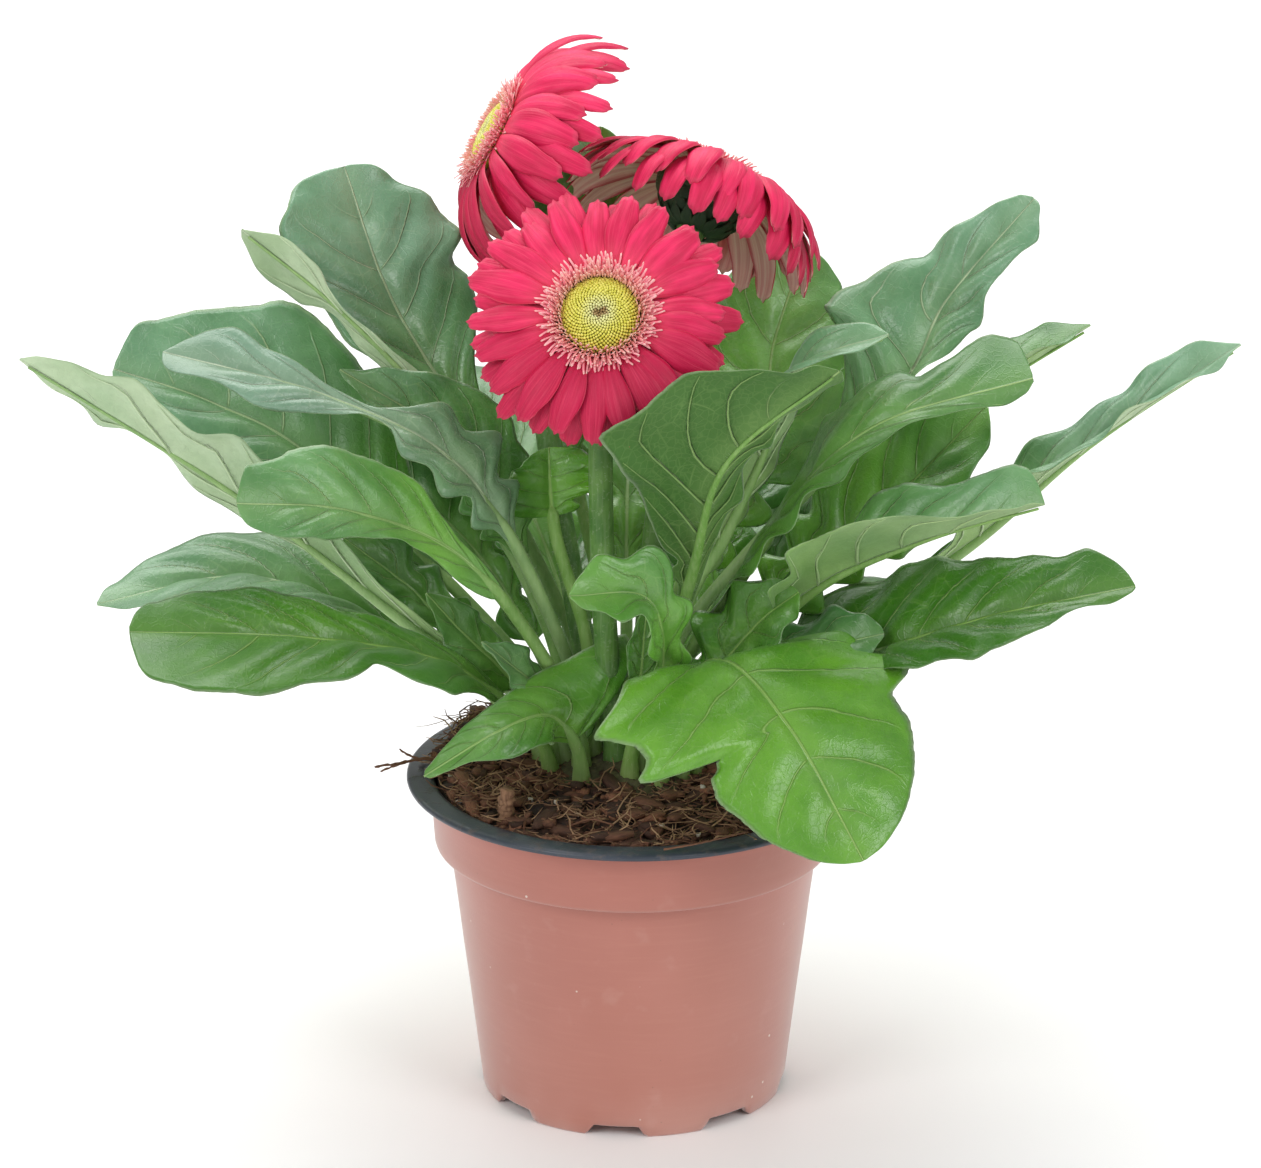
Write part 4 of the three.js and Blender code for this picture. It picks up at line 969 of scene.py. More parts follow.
def leaf_mesh(name, leaf, settings, materials):
    spine, start = leaf_spine(leaf)
    thick, relief = settings.thickness / MM / 2, settings.relief / MM
    shell = Shell()
    rows, columns = BLADE_GRIDS["whole" if "left" in leaf else leaf["grid"]]
    s = 1 - (1 - np.linspace(0, 1, rows)[:, None]) ** 1.2
    v = np.linspace(-1, 1, columns)[None, :]
    s, v = np.broadcast_arrays(s, np.sign(v) * np.abs(v) ** 1.25)
    middle, phase, half = blade_surface(leaf, spine, start, s, v, relief)
    down_rows, down_columns = np.gradient(middle, axis=0), np.gradient(middle, axis=1)
    normal = np.cross(down_rows, down_columns)
    normal /= np.maximum(np.linalg.norm(normal, axis=-1, keepdims=True), 1e-9)
    up = leaf_frames(leaf, spine, start, start + (1 - start) * s)[4]
    flip = np.sign((normal * up).sum(-1, keepdims=True))
    normal *= np.where(flip == 0, 1, flip)
    body = thick * (1 - 0.75 * np.abs(v[..., None]) ** 6)
    top, under = middle + normal * body, middle - normal * body
    ring = np.concatenate([top, under[:, -2:0:-1]], 1)
    width = ring.shape[1]
    run = np.concatenate([np.arange(columns), np.arange(columns - 2, 0, -1)])
    blade_uv = np.stack([phase[:, run], v[:, run]], -1)
    length = (1 - start) * spine.length
    span_uv = np.stack([(v * half)[:, run], (s * length)[:, run]], -1)
    faces = grid_faces(rows, width, wrap=True, flip=True)
    is_top = np.tile(np.arange(width) < columns - 1, rows - 1)
    values = dict(blade=blade_uv, span=span_uv, share=np.repeat(s[:, 0], width))
    tint = np.tile(leaf["tint"], (width * rows, 1))
    shell.add(ring, faces, 0, tint=tint, **values)
    shell.finish = [0 if flag else 1 for flag in is_top]
    for row, order in ((0, 1), (rows - 1, -1)):
        shell.faces.append((np.arange(width) + row * width)[::order])
        shell.finish.append(1)

    def rib(path, radii, sides, finish, place, along_rib):
        points, rib_faces = tube(path, radii, sides, flutes=2 if sides > 6 else 0, flute_depth=0.06)
        count = len(points)
        span = np.stack([np.full(count, place[1]), np.repeat(along_rib, sides)], -1)
        shell.add(
            points, rib_faces, finish, tint=np.tile(tint[0], (count, 1)),
            blade=np.tile((place[0], 0), (count, 1)), span=span, share=np.full(count, place[0]),
            ridge=np.full(count, float(finish == 1)),
        )

    t = np.concatenate([np.linspace(0, start, 22)[:-1], np.linspace(start, 0.985, 34)])
    path, radii, up = rib_line(leaf, spine, start, t, FOOT_FLARE)
    rib(path, radii, 10, 2, (0, 0), t * spine.length)
    last = int(1 / leaf["pitch"]) + 1
    for number in range(last):
        for sign in (-1, 1):
            path = vein_path(leaf, spine, start, number, sign, relief)
            if path is None:
                continue
            drop = np.linspace(0.5, 0.22, len(path))[:, None] * up[len(up) // 2]
            rib(path - drop, np.linspace(0.4, 0.12, len(path)), 5, 1, (0.5, 3), np.linspace(0, 20, len(path)))
    return shell.mesh("blade_" + name, materials)


def downy_bars(leaves):
    """Plain bars inside the stalks and midribs of the leaves, for down to grow from."""
    shell = Shell()
    for leaf in leaves:
        path, radii, _ = rib_line(leaf, *leaf_spine(leaf), np.linspace(0.03, 0.95, 34))
        shell.add(*tube(path, radii * 0.98, 8))
    return shell.mesh("stalks", [])


# ---------------------------------------------------------------- growth trees


def ring_tree():
    """Petals, florets or bracts in a ring, each a thin curved strap with a blunt three-toothed end."""
    tree = Growth("strap_ring", {
        "Count": 36, "Tiers": 2, "Root Radius": 0.0156, "Foot": 0.0,
        "Length": 0.03, "Width": 0.01, "Rise": 0.0, "Bend": 0.7,
        "Droop": 0.0, "Droop Heading": -math.pi / 2, "Tier Foot": 0.002, "Tier Rise": 0.12,
        "Tier Length": -0.1, "Tier Radius": 0.0, "Spread": 0.06,
        "Roll": 0.2, "Thickness": 0.0005, "Ridge": 0.0002,
        "Hollow": 0.2, "Blunt": 0.16, "Neck": 0.4, "Tip": 0.72,
        "Across": 9, "Along": 15, "Seed": 1, "Material": "Material",
    })
    strap = tree.store(tree.block(tree["Across"], tree["Along"]), "strap", tree.position())
    index, count, tiers = tree.index(), tree["Count"], tree["Tiers"]
    luck = tree.chances(tree["Seed"])
    first, second, third = tree.parts(luck)
    tier = tree.sum("MODULO", index, tiers)
    turn = (index + (first - 0.5) * 0.5) * (2 * math.pi) / count
    points = tree.store(tree.points(count), "turn", turn)
    points = tree.store(points, "tier", tier)
    points = tree.store(points, "luck", luck)
    whole = tree.realized(tree.placed(points, strap))

    x, y, z = tree.parts(tree.attribute("strap", "FLOAT_VECTOR"))
    luck = tree.attribute("luck", "FLOAT_VECTOR")
    first, second, third = tree.parts(luck)
    fourth = tree.sum("FRACT", first * 17.3 + second * 9.1)
    turn, tier = tree.attribute("turn"), tree.attribute("tier")
    a, s, skin = x * 2.0, y + 0.5, z * 2.0
    corner = 1 - tree.sum("SQRT", 1 - 0.92 * a * a)
    teeth = 0.014 * tree.cos(3 * math.pi * a + (third - 0.5) * 0.8) * s * s * s
    reach = s * (1 - tree["Blunt"] * corner) + teeth
    length = tree["Length"] * (1 + tier * tree["Tier Length"])
    length = length * (1 + (second - 0.5) * tree["Spread"] * 2)
    slim = tree.between(tree.ease(s, 0.0, 0.6), tree["Neck"], 1.0)
    ending = tree.between(tree.ease(s, 0.66, 1.0), 1.0, tree["Tip"])
    half = tree["Width"] / 2 * slim * ending * (0.84 + 0.28 * fourth)
    falls = tree.most(0.0, tree.cos(turn - tree["Droop Heading"]))
    rise = tree["Rise"] + tier * tree["Tier Rise"] + (third - 0.5) * tree["Spread"] * 2
    bend = tree["Bend"] * (0.92 + 0.16 * fourth) + falls * tree["Droop"]

    def angle(u):
        return rise - bend * (u ** 1.2)

    out = up = None
    for spot, weight in QUADRATURE:
        here = angle(reach * spot)
        part_out, part_up = tree.cos(here) * weight, tree.sin(here) * weight
        out, up = (part_out, part_up) if out is None else (out + part_out, up + part_up)
    out, up = out * length * reach, up * length * reach
    ridges = tree["Ridge"] * tree.cos(3 * math.pi * a) * tree.ease(s, 0.02, 0.3)
    roll = tree["Roll"] * (first - 0.2) * tree.ease(s, 0.0, 0.4)
    hollow = tree["Hollow"] * a * a * half * tree.ease(s, 0.0, 0.5)
    edge = 1 - 0.7 * a * a * a * a
    lift = skin * tree["Thickness"] / 2 * edge + ridges + roll * a * half - hollow
    lean = angle(reach)
    root = tree["Root Radius"] + tier * tree["Tier Radius"]
    far = root + out - lift * tree.sin(lean)
    high = tree["Foot"] + tier * tree["Tier Foot"] + up + lift * tree.cos(lean)
    aside = a * half + (second - 0.5) * tree["Spread"] * 1.6 * length * s * s
    cos, sin = tree.cos(turn), tree.sin(turn)
    placed = tree.moved(whole, tree.vector(far * cos - aside * sin, far * sin + aside * cos, high))
    tree.finish(placed, tree["Material"])
    return tree


def disc_tree():
    """Small five-sided florets in spirals over a dome."""
    tree = Growth("disc_spiral", {
        "Geometry": "Geometry", "Count": 420, "Radius": 0.011,
        "Rise": 0.0036, "Size": 0.0005, "Seed": 1, "Material": "Material",
    })
    index, count = tree.index(), tree["Count"]
    share = tree.sum("SQRT", (index + 0.5) / count)
    turn = index * GOLDEN_TURN
    first, second, third = tree.parts(tree.chances(tree["Seed"]))
    height = tree["Rise"] * (1 - share ** 4.0) * tree.ease(share, *DISC_DIP)
    r = share * tree["Radius"]
    spot = tree.vector(r * tree.cos(turn), r * tree.sin(turn), height)
    points = tree.moved(tree.points(count), spot)
    points = tree.store(points, "share", share)
    points = tree.store(points, "luck", first)
    tall = 2.6
    floret = tree.node("GeometryNodeMeshCone", None, {
        "Vertices": 5, "Side Segments": 1, "Radius Top": 0.8, "Radius Bottom": 1.0, "Depth": tall,
    }, "Mesh")
    floret = tree.store(floret, "knob", tree.parts(tree.position())[2] / tall)
    size = tree["Size"] * (0.84 + 0.24 * share) * (0.93 + 0.14 * second)
    stretch = tree.vector(size, size, size * (0.62 + 0.25 * third))
    lean = tree.vector((first - 0.5) * 0.3, (share ** 3.0) * 0.85 + (second - 0.5) * 0.25, turn)
    florets = tree.realized(tree.placed(points, floret, lean, stretch))
    dome = tree.store(tree["Geometry"], "knob", 0.0)
    tree.finish(tree.joined(dome, florets), tree["Material"])
    return tree


def down_tree():
    """Fine down that stands on a stem: thin three-sided spikes, with the stem's own mesh if Body is on."""
    tree = Growth("down", {
        "Geometry": "Geometry", "Body": True, "Density": 60000.0, "Length": 0.0012,
        "Radius": 0.00004, "Seed": 1, "Material": "Material",
    })
    body = tree["Geometry"]
    points = tree.node("GeometryNodeDistributePointsOnFaces", None, {
        "Mesh": body, "Density": tree["Density"], "Seed": tree["Seed"],
    }, "Points")
    rotation = tree.other(points, "Rotation")
    luck = tree.parts(tree.chances(tree["Seed"]))[2]
    spike = tree.node("GeometryNodeMeshCone", {"fill_type": "NONE"}, {
        "Vertices": 3, "Radius Top": 0.12, "Radius Bottom": 1.0, "Depth": 1.0,
    }, "Mesh")
    spike = tree.store(spike, "hair", 1.0)
    radius = tree["Radius"]
    size = tree.vector(radius, radius, tree["Length"] * (0.5 + 0.8 * luck))
    hairs = tree.realized(tree.placed(points, spike, rotation, size))
    body = tree.store(body, "hair", 0.0)
    kept = tree.node("GeometryNodeSwitch", {"input_type": "GEOMETRY"}, {
        "Switch": tree["Body"], "False": hairs, "True": tree.joined(body, hairs),
    })
    tree.finish(kept, tree["Material"])
    return tree


def down_finish():
    """Pale down on the leaf stalks."""
    f = Finish("leaf_down")
    tone = f.noise(200.0, 2.0)
    f.colour = f.blend(f.ease(tone, 0.3, 0.7), (0.36, 0.46, 0.27), (0.6, 0.67, 0.5))
    return f.surface(0.5 + tone * 0.2, f.bump(tone, 0.00005, 0.3))


def strewn_tree():
    """Bits that lie on the soil: crooked four-sided strands, chips or grains."""
    tree = Growth("strewn", {
        "Geometry": "Geometry", "Density": 60000.0, "Length": 0.01,
        "Width": 0.0004, "Thickness": 0.0003, "Curl": 0.2,
        "Tilt": 0.5, "Lift": 0.0, "Rough": 0.0, "Grain": 400.0,
        "Across": 2, "Along": 7, "Seed": 1, "Material": "Material",
    })
    points = tree.node("GeometryNodeDistributePointsOnFaces", None, {
        "Mesh": tree["Geometry"], "Density": tree["Density"], "Seed": tree["Seed"],
        "Selection": tree.node("FunctionNodeCompare", {"operation": "GREATER_THAN"}, {
            "A": tree.attribute("top"), "B": 0.5,
        }, "Result"),
    }, "Points")
    luck = tree.chances(tree["Seed"])
    points = tree.store(points, "luck", luck)
    points = tree.store(points, "lie", tree.chances(tree["Seed"] + 7.0))
    points = tree.store(points, "spot", tree.position())
    strand = tree.store(tree.block(tree["Along"], tree["Across"]), "strand", tree.position())
    whole = tree.realized(tree.placed(points, strand))
    x, y, z = tree.parts(tree.attribute("strand", "FLOAT_VECTOR"))
    first, second, third = tree.parts(tree.attribute("luck", "FLOAT_VECTOR"))
    fourth, fifth, sixth = tree.parts(tree.attribute("lie", "FLOAT_VECTOR"))
    length = tree["Length"] * (0.35 + 1.3 * first * first)
    taper = 1 - 0.55 * abs(x * 2.0) ** 3.0
    curl = tree["Curl"] * (fourth - 0.5) * 2
    wriggle = tree.sin(x * 7.0 + fifth * 6.3) * tree["Curl"] * 0.16
    along = x * length
    aside = y * tree["Width"] * taper + length * (curl * x * x + wriggle)
    rise = z * tree["Thickness"] * taper + length * (sixth - 0.5) * tree["Curl"] * x * x
    slope = (second - 0.35) * tree["Tilt"]
    heading = third * (2 * math.pi)
    cos, sin = tree.cos(heading), tree.sin(heading)
    out = along * tree.cos(slope)
    up = along * tree.sin(slope) + rise + tree["Lift"]
    place = tree.vector(out * cos - aside * sin, out * sin + aside * cos, up)
    place = place + tree.attribute("spot", "FLOAT_VECTOR")
    east, north, height = tree.parts(place)
    reach = WALL_REACH[0] + tree.ease(height, *RIM_HEIGHTS) * WALL_REACH[1]
    within = tree.least(1.0, reach / tree.sum("SQRT", east * east + north * north))
    place = tree.vector(east * within, north * within, height)
    bumps = tree.node("ShaderNodeTexNoise", {"noise_dimensions": "3D"}, {
        "Vector": place, "Scale": tree["Grain"], "Detail": 1.0,
    }, "Color")
    rough = tree.node("ShaderNodeVectorMath", {"operation": "SCALE"}, {
        0: tree.sum("SUBTRACT", bumps, (0.5, 0.5, 0.5)), "Scale": tree["Rough"],
    })
    tree.finish(tree.moved(whole, place + rough), tree["Material"])
    return tree


# ---------------------------------------------------------------- finishes


def leaf_finish(name, light, dark, roughness, under):
    """A leaf's skin: mottled green, with veins along the blade's own UV, a fine net, a pale margin, painted
    shade in the hollows beside the veins and pale patches that are partly painted sheen.
    """
    f = Finish(name)
    blade = f.node("ShaderNodeUVMap", {"uv_map": "blade"})
    span = f.node("ShaderNodeUVMap", {"uv_map": "span"})
    phase, v, _ = f.parts(blade)
    across = f.parts(span)[0]
    share = f.attribute("share")
    yellow, grey, deep = f.parts(f.attribute("tint", "Vector"))
    wander = f.noise(55.0, 2.0)
    mottle = f.ease(f.noise(30.0, 4.0, 0.6), 0.3, 0.72)
    cloud = f.noise(12.0, 2.0, 0.5)
    fine = f.noise(420.0, 3.0, 0.6)
    out = abs(v)
    from_vein = abs(f.sum("FRACT", phase + (wander - 0.5) * 0.2) - 0.5)
    inside = f.fade(out, 0.6, 0.97) * f.fade(share, 0.8, 0.93) * f.ease(abs(across), 0.3, 2.0)
    vein = f.most(f.attribute("ridge"), f.fade(from_vein, 0.004, 0.034) * inside)
    # hollow: the band beside each vein; it shapes the bump and carries painted shade
    hollow = f.fade(from_vein, 0.0, 0.22) * inside
    branches = f.fade(f.cells(0.13, "DISTANCE_TO_EDGE", at=span), 0.004, 0.035)
    branches = branches * inside * f.ease(f.noise(40.0, 1.0), 0.4, 0.6)
    # pale bluish patches away from the vein hollows: partly the leaf's grey bloom, partly painted sheen
    bloom_and_sheen = f.ease(f.noise(36.0, 3.0, 0.55), 0.42, 0.7) * (1 - hollow * 0.6)
    rib_width = 1 - 0.65 * share
    midrib = f.fade(abs(across) / rib_width, 0.35, 1.15)
    near_midrib = f.fade(abs(across), 1.0, 9.0)
    net_line = f.fade(f.cells(0.42, "DISTANCE_TO_EDGE", at=span), 0.01, 0.09)
    fine_net = f.fade(f.cells(1.2, "DISTANCE_TO_EDGE", at=span), 0.02, 0.14)
    base = f.fade(share, 0.2, 0.88)
    f.colour = f.blend(mottle, dark, light)
    sunny = f.blend(mottle, (0.07, 0.25, 0.008), (0.155, 0.42, 0.022))
    greyish = f.blend(mottle, (0.12, 0.285, 0.14), (0.235, 0.445, 0.275))
    if under:
        sunny = f.blend(mottle, (0.14, 0.32, 0.045), (0.27, 0.47, 0.1))
        greyish = f.blend(mottle, (0.36, 0.5, 0.28), (0.56, 0.69, 0.46))
    f.coat(f.least(1.0, yellow + base * 0.6 + near_midrib * 0.14 + (cloud - 0.5) * 0.5), sunny)
    f.coat(f.least(1.0, grey * (1.34 - 1.1 * base) + (cloud - 0.5) * 0.36), greyish)
    f.coat(deep * 0.82, (0.035, 0.125, 0.012) if under else (0.02, 0.115, 0.006))
    pale = f.blend(grey, (0.4, 0.58, 0.2) if under else (0.32, 0.52, 0.13), (0.6, 0.72, 0.48))
    # pale bluish patches: the leaf's grey bloom with painted sheen
    f.coat(bloom_and_sheen * (0.05 + grey * (0.1 if under else 0.2)) * (1 - deep), (0.3, 0.52, 0.36))
    f.coat(f.ease(grey, 0.86, 1.0) * (0.0 if under else 0.4), (0.17, 0.24, 0.2))
    # painted shade: the hollows beside the veins are darkened
    f.coat(hollow * 0.07, (0.014, 0.08, 0.012))
    f.coat(vein * (0.75 - deep * 0.36 if under else 0.6), pale)
    f.coat(f.most(branches * 0.16, net_line * (0.07 if under else 0.04)), pale)
    f.coat(near_midrib * 0.12, pale)
    f.coat(midrib * 0.75, pale)
    f.coat(f.ease(out, 0.955, 0.995) * 0.6, (0.44, 0.63, 0.32))
    f.coat(f.ease(fine, 0.35, 0.7) * 0.07, (0.02, 0.08, 0.015))
    rough = roughness + (cloud - 0.5) * 0.3 + (fine - 0.5) * 0.1 - bloom_and_sheen * 0.05
    sign = 1.0 if under else -1.0
    height = vein * (1.5 * sign) + hollow * (0.9 * sign) + net_line * (0.1 * sign) + fine_net * (0.04 * sign)
    height = height + fine * 0.1 + midrib * (1.2 * sign)
    return f.surface(
        rough, f.bump(height, 0.0004, 0.8),
        **{"Specular IOR Level": 0.3 if under else 0.62, "Sheen Weight": 0.15 if under else 0.05},
    )


def rib_finish():
    """Leaf stalks and ribs: pale yellow green, finely fluted, browner and redder at the foot."""
    f = Finish("leaf_rib")
    along = f.parts(f.node("ShaderNodeUVMap", {"uv_map": "span"}))[1]
    yellow, grey, deep = f.parts(f.attribute("tint", "Vector"))
    mottle = f.noise(90.0, 3.0)
    fibres = f.streaks((900.0, 900.0, 90.0), 3.0, 0.6)
    f.colour = f.blend(f.ease(mottle, 0.3, 0.7), (0.12, 0.27, 0.045), (0.24, 0.42, 0.11))
    f.coat(grey * 0.35, (0.38, 0.54, 0.28))
    f.coat(deep * 0.35, (0.07, 0.2, 0.03))
    f.coat(yellow * 0.35, (0.25, 0.48, 0.07))
    f.coat(f.fade(along, 2.0, 16.0) * 0.4, (0.2, 0.15, 0.07))
    f.coat(f.ease(fibres, 0.4, 0.7) * 0.2, (0.48, 0.62, 0.3))
    return f.surface(0.5 + (fibres - 0.5) * 0.2, f.bump(fibres, 0.00025, 0.5))


def stem_finish():
    """Flower stems, mid green under a pale down and ribbed along their length, and their cups, painted near
    black as shade under the heads.
    """
    f = Finish("stem_down")
    hair = f.attribute("hair")
    cup = f.attribute("cup")
    mottle = f.noise(120.0, 3.0)
    lines = f.streaks((1100.0, 1100.0, 60.0), 3.0, 0.6)
    specks = f.ease(f.noise(900.0, 1.0), 0.6, 0.72)
    f.colour = f.blend(f.ease(mottle, 0.3, 0.7), (0.06, 0.17, 0.025), (0.12, 0.26, 0.05))
    f.coat(f.ease(lines, 0.45, 0.7) * 0.22, (0.32, 0.42, 0.24))
    f.coat(specks * 0.25, (0.36, 0.46, 0.26))
    # painted shade: the cups under the heads are darkened to near black
    f.coat(cup * 0.8, (0.012, 0.035, 0.012))
    f.coat(hair * 0.8, (0.5, 0.55, 0.4))
    return f.surface(0.55 + (mottle - 0.5) * 0.2, f.bump(lines + specks * 0.3, 0.0003, 0.6))


def bract_finish():
    """The pointed bracts of the cup: dark green, darkened to near black as painted shade under the head, with
    paler edges.
    """
    f = Finish("cup_bract")
    strap = f.attribute("strap", "Vector")
    x, y, _ = f.parts(strap)
    edge = f.ease(abs(x), 0.3, 0.5)
    lines = f.streaks((14.0, 2.0, 1.0), at=strap)
    # dark green bracts made near black as painted shade under the head
    f.colour = f.blend(lines, (0.009, 0.026, 0.01), (0.03, 0.062, 0.022))
    f.coat(edge * 0.15, (0.12, 0.18, 0.07))
    f.coat(f.ease(y, 0.3, 0.5) * 0.5, (0.16, 0.08, 0.06))
    return f.surface(0.6 + lines * 0.1, f.bump(lines, 0.0003, 0.6))


def ray_finish(petal, shade, under):
    """The big outer petals: crimson, satin, with fine lines along them, paler beneath; the shade on the lower
    petals, in the grooves and between petals, and the light along their edges are painted.
    """
    f = Finish("ray_petal")
    strap, luck = f.attribute("strap", "Vector"), f.attribute("luck", "Vector")
    x, y, z = f.parts(strap)
    s = y + 0.5
    lines = f.streaks((26.0, 1.4, 1.0), 3.0, 0.6, strap + luck * 9.0)
    broad = f.streaks((3.0, 2.2, 1.0), 2.0, 0.5, strap + luck * 5.0)
    velvet = f.noise(1500.0, 2.0)
    groove = f.ease(f.cos(x * (6 * math.pi)), 0.1, -0.95)
    f.colour = f.blend(f.ease(broad, 0.25, 0.75), shade, petal)
    # painted shade: the petals on the lower side of the head are darker and lose their pale base
    lower_petal_shade = f.ease(f.sin(f.attribute("turn")), 0.3, -0.9)
    f.coat(f.parts(luck)[1] * 0.2 + lower_petal_shade * 0.4, shade)
    f.coat(lower_petal_shade * 0.55, (0.4, 0.006, 0.045))
    # painted shade in the grooves along each petal and towards its sides, where neighbouring petals overlap
    f.coat(groove * 0.3, shade)
    f.coat(f.ease(abs(x), 0.3, 0.46) * 0.42, shade)
    f.coat(f.ease(lines, 0.45, 0.7) * 0.24, (1.0, 0.11, 0.2))
    f.coat(f.ease(lines, 0.42, 0.25) * 0.3, shade)
    f.coat(f.fade(s, 0.05, 0.5) * 0.4 * (1 - lower_petal_shade), (1.0, 0.13, 0.2))
    # painted highlight: a lighter pink along the petals' tips and side edges
    rim = f.most(f.ease(s, 0.93, 1.0) * 0.22, f.ease(abs(x), 0.465, 0.495) * 0.3)
    f.coat(rim, (1.0, 0.2, 0.28))
    back = f.blend(f.ease(lines, 0.3, 0.7), under, (1.0, 0.68, 0.58))
    back = f.blend(f.fade(s, 0.1, 0.75) * 0.35, back, (0.8, 0.52, 0.32))
    back = f.blend(groove * 0.32, back, (0.62, 0.1, 0.12))
    back = f.blend(f.ease(abs(x), 0.34, 0.5) * 0.7, back, (0.8, 0.03, 0.1))
    f.coat(f.ease(z, 0.1, -0.1), back)
    rough = 0.46 + (lines - 0.5) * 0.2 + (velvet - 0.5) * 0.1
    return f.surface(
        rough, f.bump(lines * 0.6 + velvet * 0.15, 0.0004, 0.8), **{"Specular IOR Level": 0.3},
    )


def fringe_finish():
    """The short florets between the petals and the disc: coral pink, with pale yellowish tips."""
    f = Finish("fringe_floret")
    strap = f.attribute("strap", "Vector")
    first, second, _ = f.parts(f.attribute("luck", "Vector"))
    s = f.parts(strap)[1] + 0.5
    lines = f.streaks((8.0, 3.0, 1.0), at=strap)
    f.colour = f.blend(first, (1.0, 0.27, 0.34), (1.0, 0.5, 0.52))
    f.coat(f.ease(lines, 0.3, 0.7) * 0.16, (0.85, 0.09, 0.16))
    f.coat(f.fade(s, 0.1, 0.6) * 0.5, (1.0, 0.56, 0.46))
    f.coat(f.ease(s, 0.8, 0.98) * f.ease(second, 0.2, 0.7) * 0.6, (1.0, 0.7, 0.6))
    f.coat(f.ease(f.attribute("tier"), 1.2, 2.4) * 0.3, (0.9, 0.62, 0.34))
    return f.surface(0.5 + lines * 0.15, f.bump(lines, 0.0002, 0.5))


def disc_finish():
    """The disc: yellow green florets, a brown star in the dip, a darker dotted ring at the edge, and painted
    shade low between the florets.
    """
    f = Finish("disc_floret")
    share, knob, luck = f.attribute("share"), f.attribute("knob"), f.attribute("luck")
    grain = f.noise(600.0, 2.0)
    star = f.noise(420.0, 2.0)
    f.colour = f.blend(luck, (0.74, 0.7, 0.08), (0.9, 0.84, 0.17))
    f.coat(f.fade(share, 0.15, 0.6), (0.88, 0.87, 0.42))
    f.coat(f.fade(share + (star - 0.5) * 0.4, 0.1, 0.24) * 0.85, (0.32, 0.15, 0.05))
    rim = f.ease(share, 0.86, 0.99)
    f.coat(rim * f.ease(luck, 0.3, 0.7) * 0.6, (0.52, 0.28, 0.08))
    # painted shade: the dome and the florets' lower parts, between the florets, are darker
    f.coat(f.ease(knob, 0.3, -0.4) * 0.25, (0.6, 0.52, 0.06))
    return f.surface(0.55 + (grain - 0.5) * 0.2, f.bump(grain, 0.0002, 0.5))


def pot_finish(clay):
    """The pot's outside: matt moulded clay-coloured plastic with faint mould lines, scuffs and specks."""
    f = Finish("pot_clay")
    z = f.parts(f.place)[2]
    cloud = f.noise(14.0, 3.0, 0.6)
    broad = f.noise(5.0, 2.0)
    grain = f.noise(1600.0, 2.0, 0.7)
    drag = f.streaks((60.0, 60.0, 700.0), 3.0, 0.6)
    chalk = f.ease(f.noise(75.0, 3.0, 0.6), 0.6, 0.78)
    spot = f.cells(110.0)
    pick = f.ease(f.noise(33.0, 1.0), 0.47, 0.56)
    speck = f.fade(spot, 0.035, 0.06) * pick
    dot = f.fade(f.cells(260.0), 0.05, 0.09) * f.ease(f.noise(61.0, 1.0), 0.55, 0.62)
    low = f.fade(z, 0.0, 0.02)
    deep = tuple(c * s for c, s in zip(clay, (0.9, 0.84, 0.8)))
    f.colour = f.blend(f.ease(cloud, 0.3, 0.7), deep, clay)
    f.coat(f.ease(broad, 0.35, 0.7) * 0.3, (0.6, 0.27, 0.19))
    f.coat(f.ease(drag, 0.45, 0.75) * 0.08, (0.62, 0.3, 0.22))
    f.coat(chalk * 0.1, (0.8, 0.6, 0.52))
    f.coat(speck * 0.75, (0.85, 0.78, 0.7))
    f.coat(dot * 0.5, (0.25, 0.12, 0.08))
    f.coat(f.ease(z, 0.0798, 0.0804) * 0.16, (0.36, 0.11, 0.08))
    f.coat(low * f.ease(cloud, 0.45, 0.65) * 0.22, (0.72, 0.5, 0.44))
    rough = 0.42 + (cloud - 0.5) * 0.14 + (grain - 0.5) * 0.08 + chalk * 0.15
    height = grain * 0.3 + drag * 0.2 + speck * 1.2
    return f.surface(rough, f.bump(height, 0.00015, 0.6), **{"Specular IOR Level": 0.4, "Sheen Weight": 0.55})


def rim_finish():
    """The pot's rim and inside: blue black plastic with soil dust on it."""
    f = Finish("pot_rim")
    dust = f.ease(f.noise(260.0, 4.0, 0.7), 0.5, 0.72)
    cloud = f.noise(40.0, 3.0)
    f.colour = f.blend(cloud, (0.018, 0.024, 0.034), (0.05, 0.062, 0.085))
    f.coat(dust * 0.4, (0.17, 0.13, 0.1))
    return f.surface(0.32 + dust * 0.35, f.bump(dust, 0.0002, 0.5))


def soil_finish(name, light, dark, roughness=0.9):
    """Peaty soil, and the bits that lie on it."""
    f = Finish(name)
    crumb = f.noise(420.0, 4.0, 0.7)
    lump = f.noise(90.0, 3.0, 0.6)
    fibre = f.streaks((160.0, 900.0, 300.0), 2.0, 0.6)
    f.colour = f.blend(f.ease(crumb, 0.3, 0.72), dark, light)
    f.coat(f.ease(lump, 0.3, 0.6) * 0.5, dark)
    f.coat(f.ease(fibre, 0.6, 0.75) * 0.25, tuple(min(1, c * 2.6) for c in light))
    return f.surface(roughness + (crumb - 0.5) * 0.1, f.bump(crumb + lump * 0.5, 0.0008, 0.8))


def strand_finish(name, light, dark):
    """Bits on the soil, each a little different in colour."""
    f = Finish(name)
    grain = f.streaks((3.0, 14.0, 2.0), 3.0, 0.6, f.attribute("strand", "Vector"))
    f.colour = f.blend(f.parts(f.attribute("luck", "Vector"))[1], dark, light)
    f.coat(f.ease(grain, 0.4, 0.7) * 0.6, tuple(c * 0.45 for c in dark))
    return f.surface(0.75 + grain * 0.15, f.bump(grain, 0.0003, 0.6))


# ---------------------------------------------------------------- pot, soil and crown


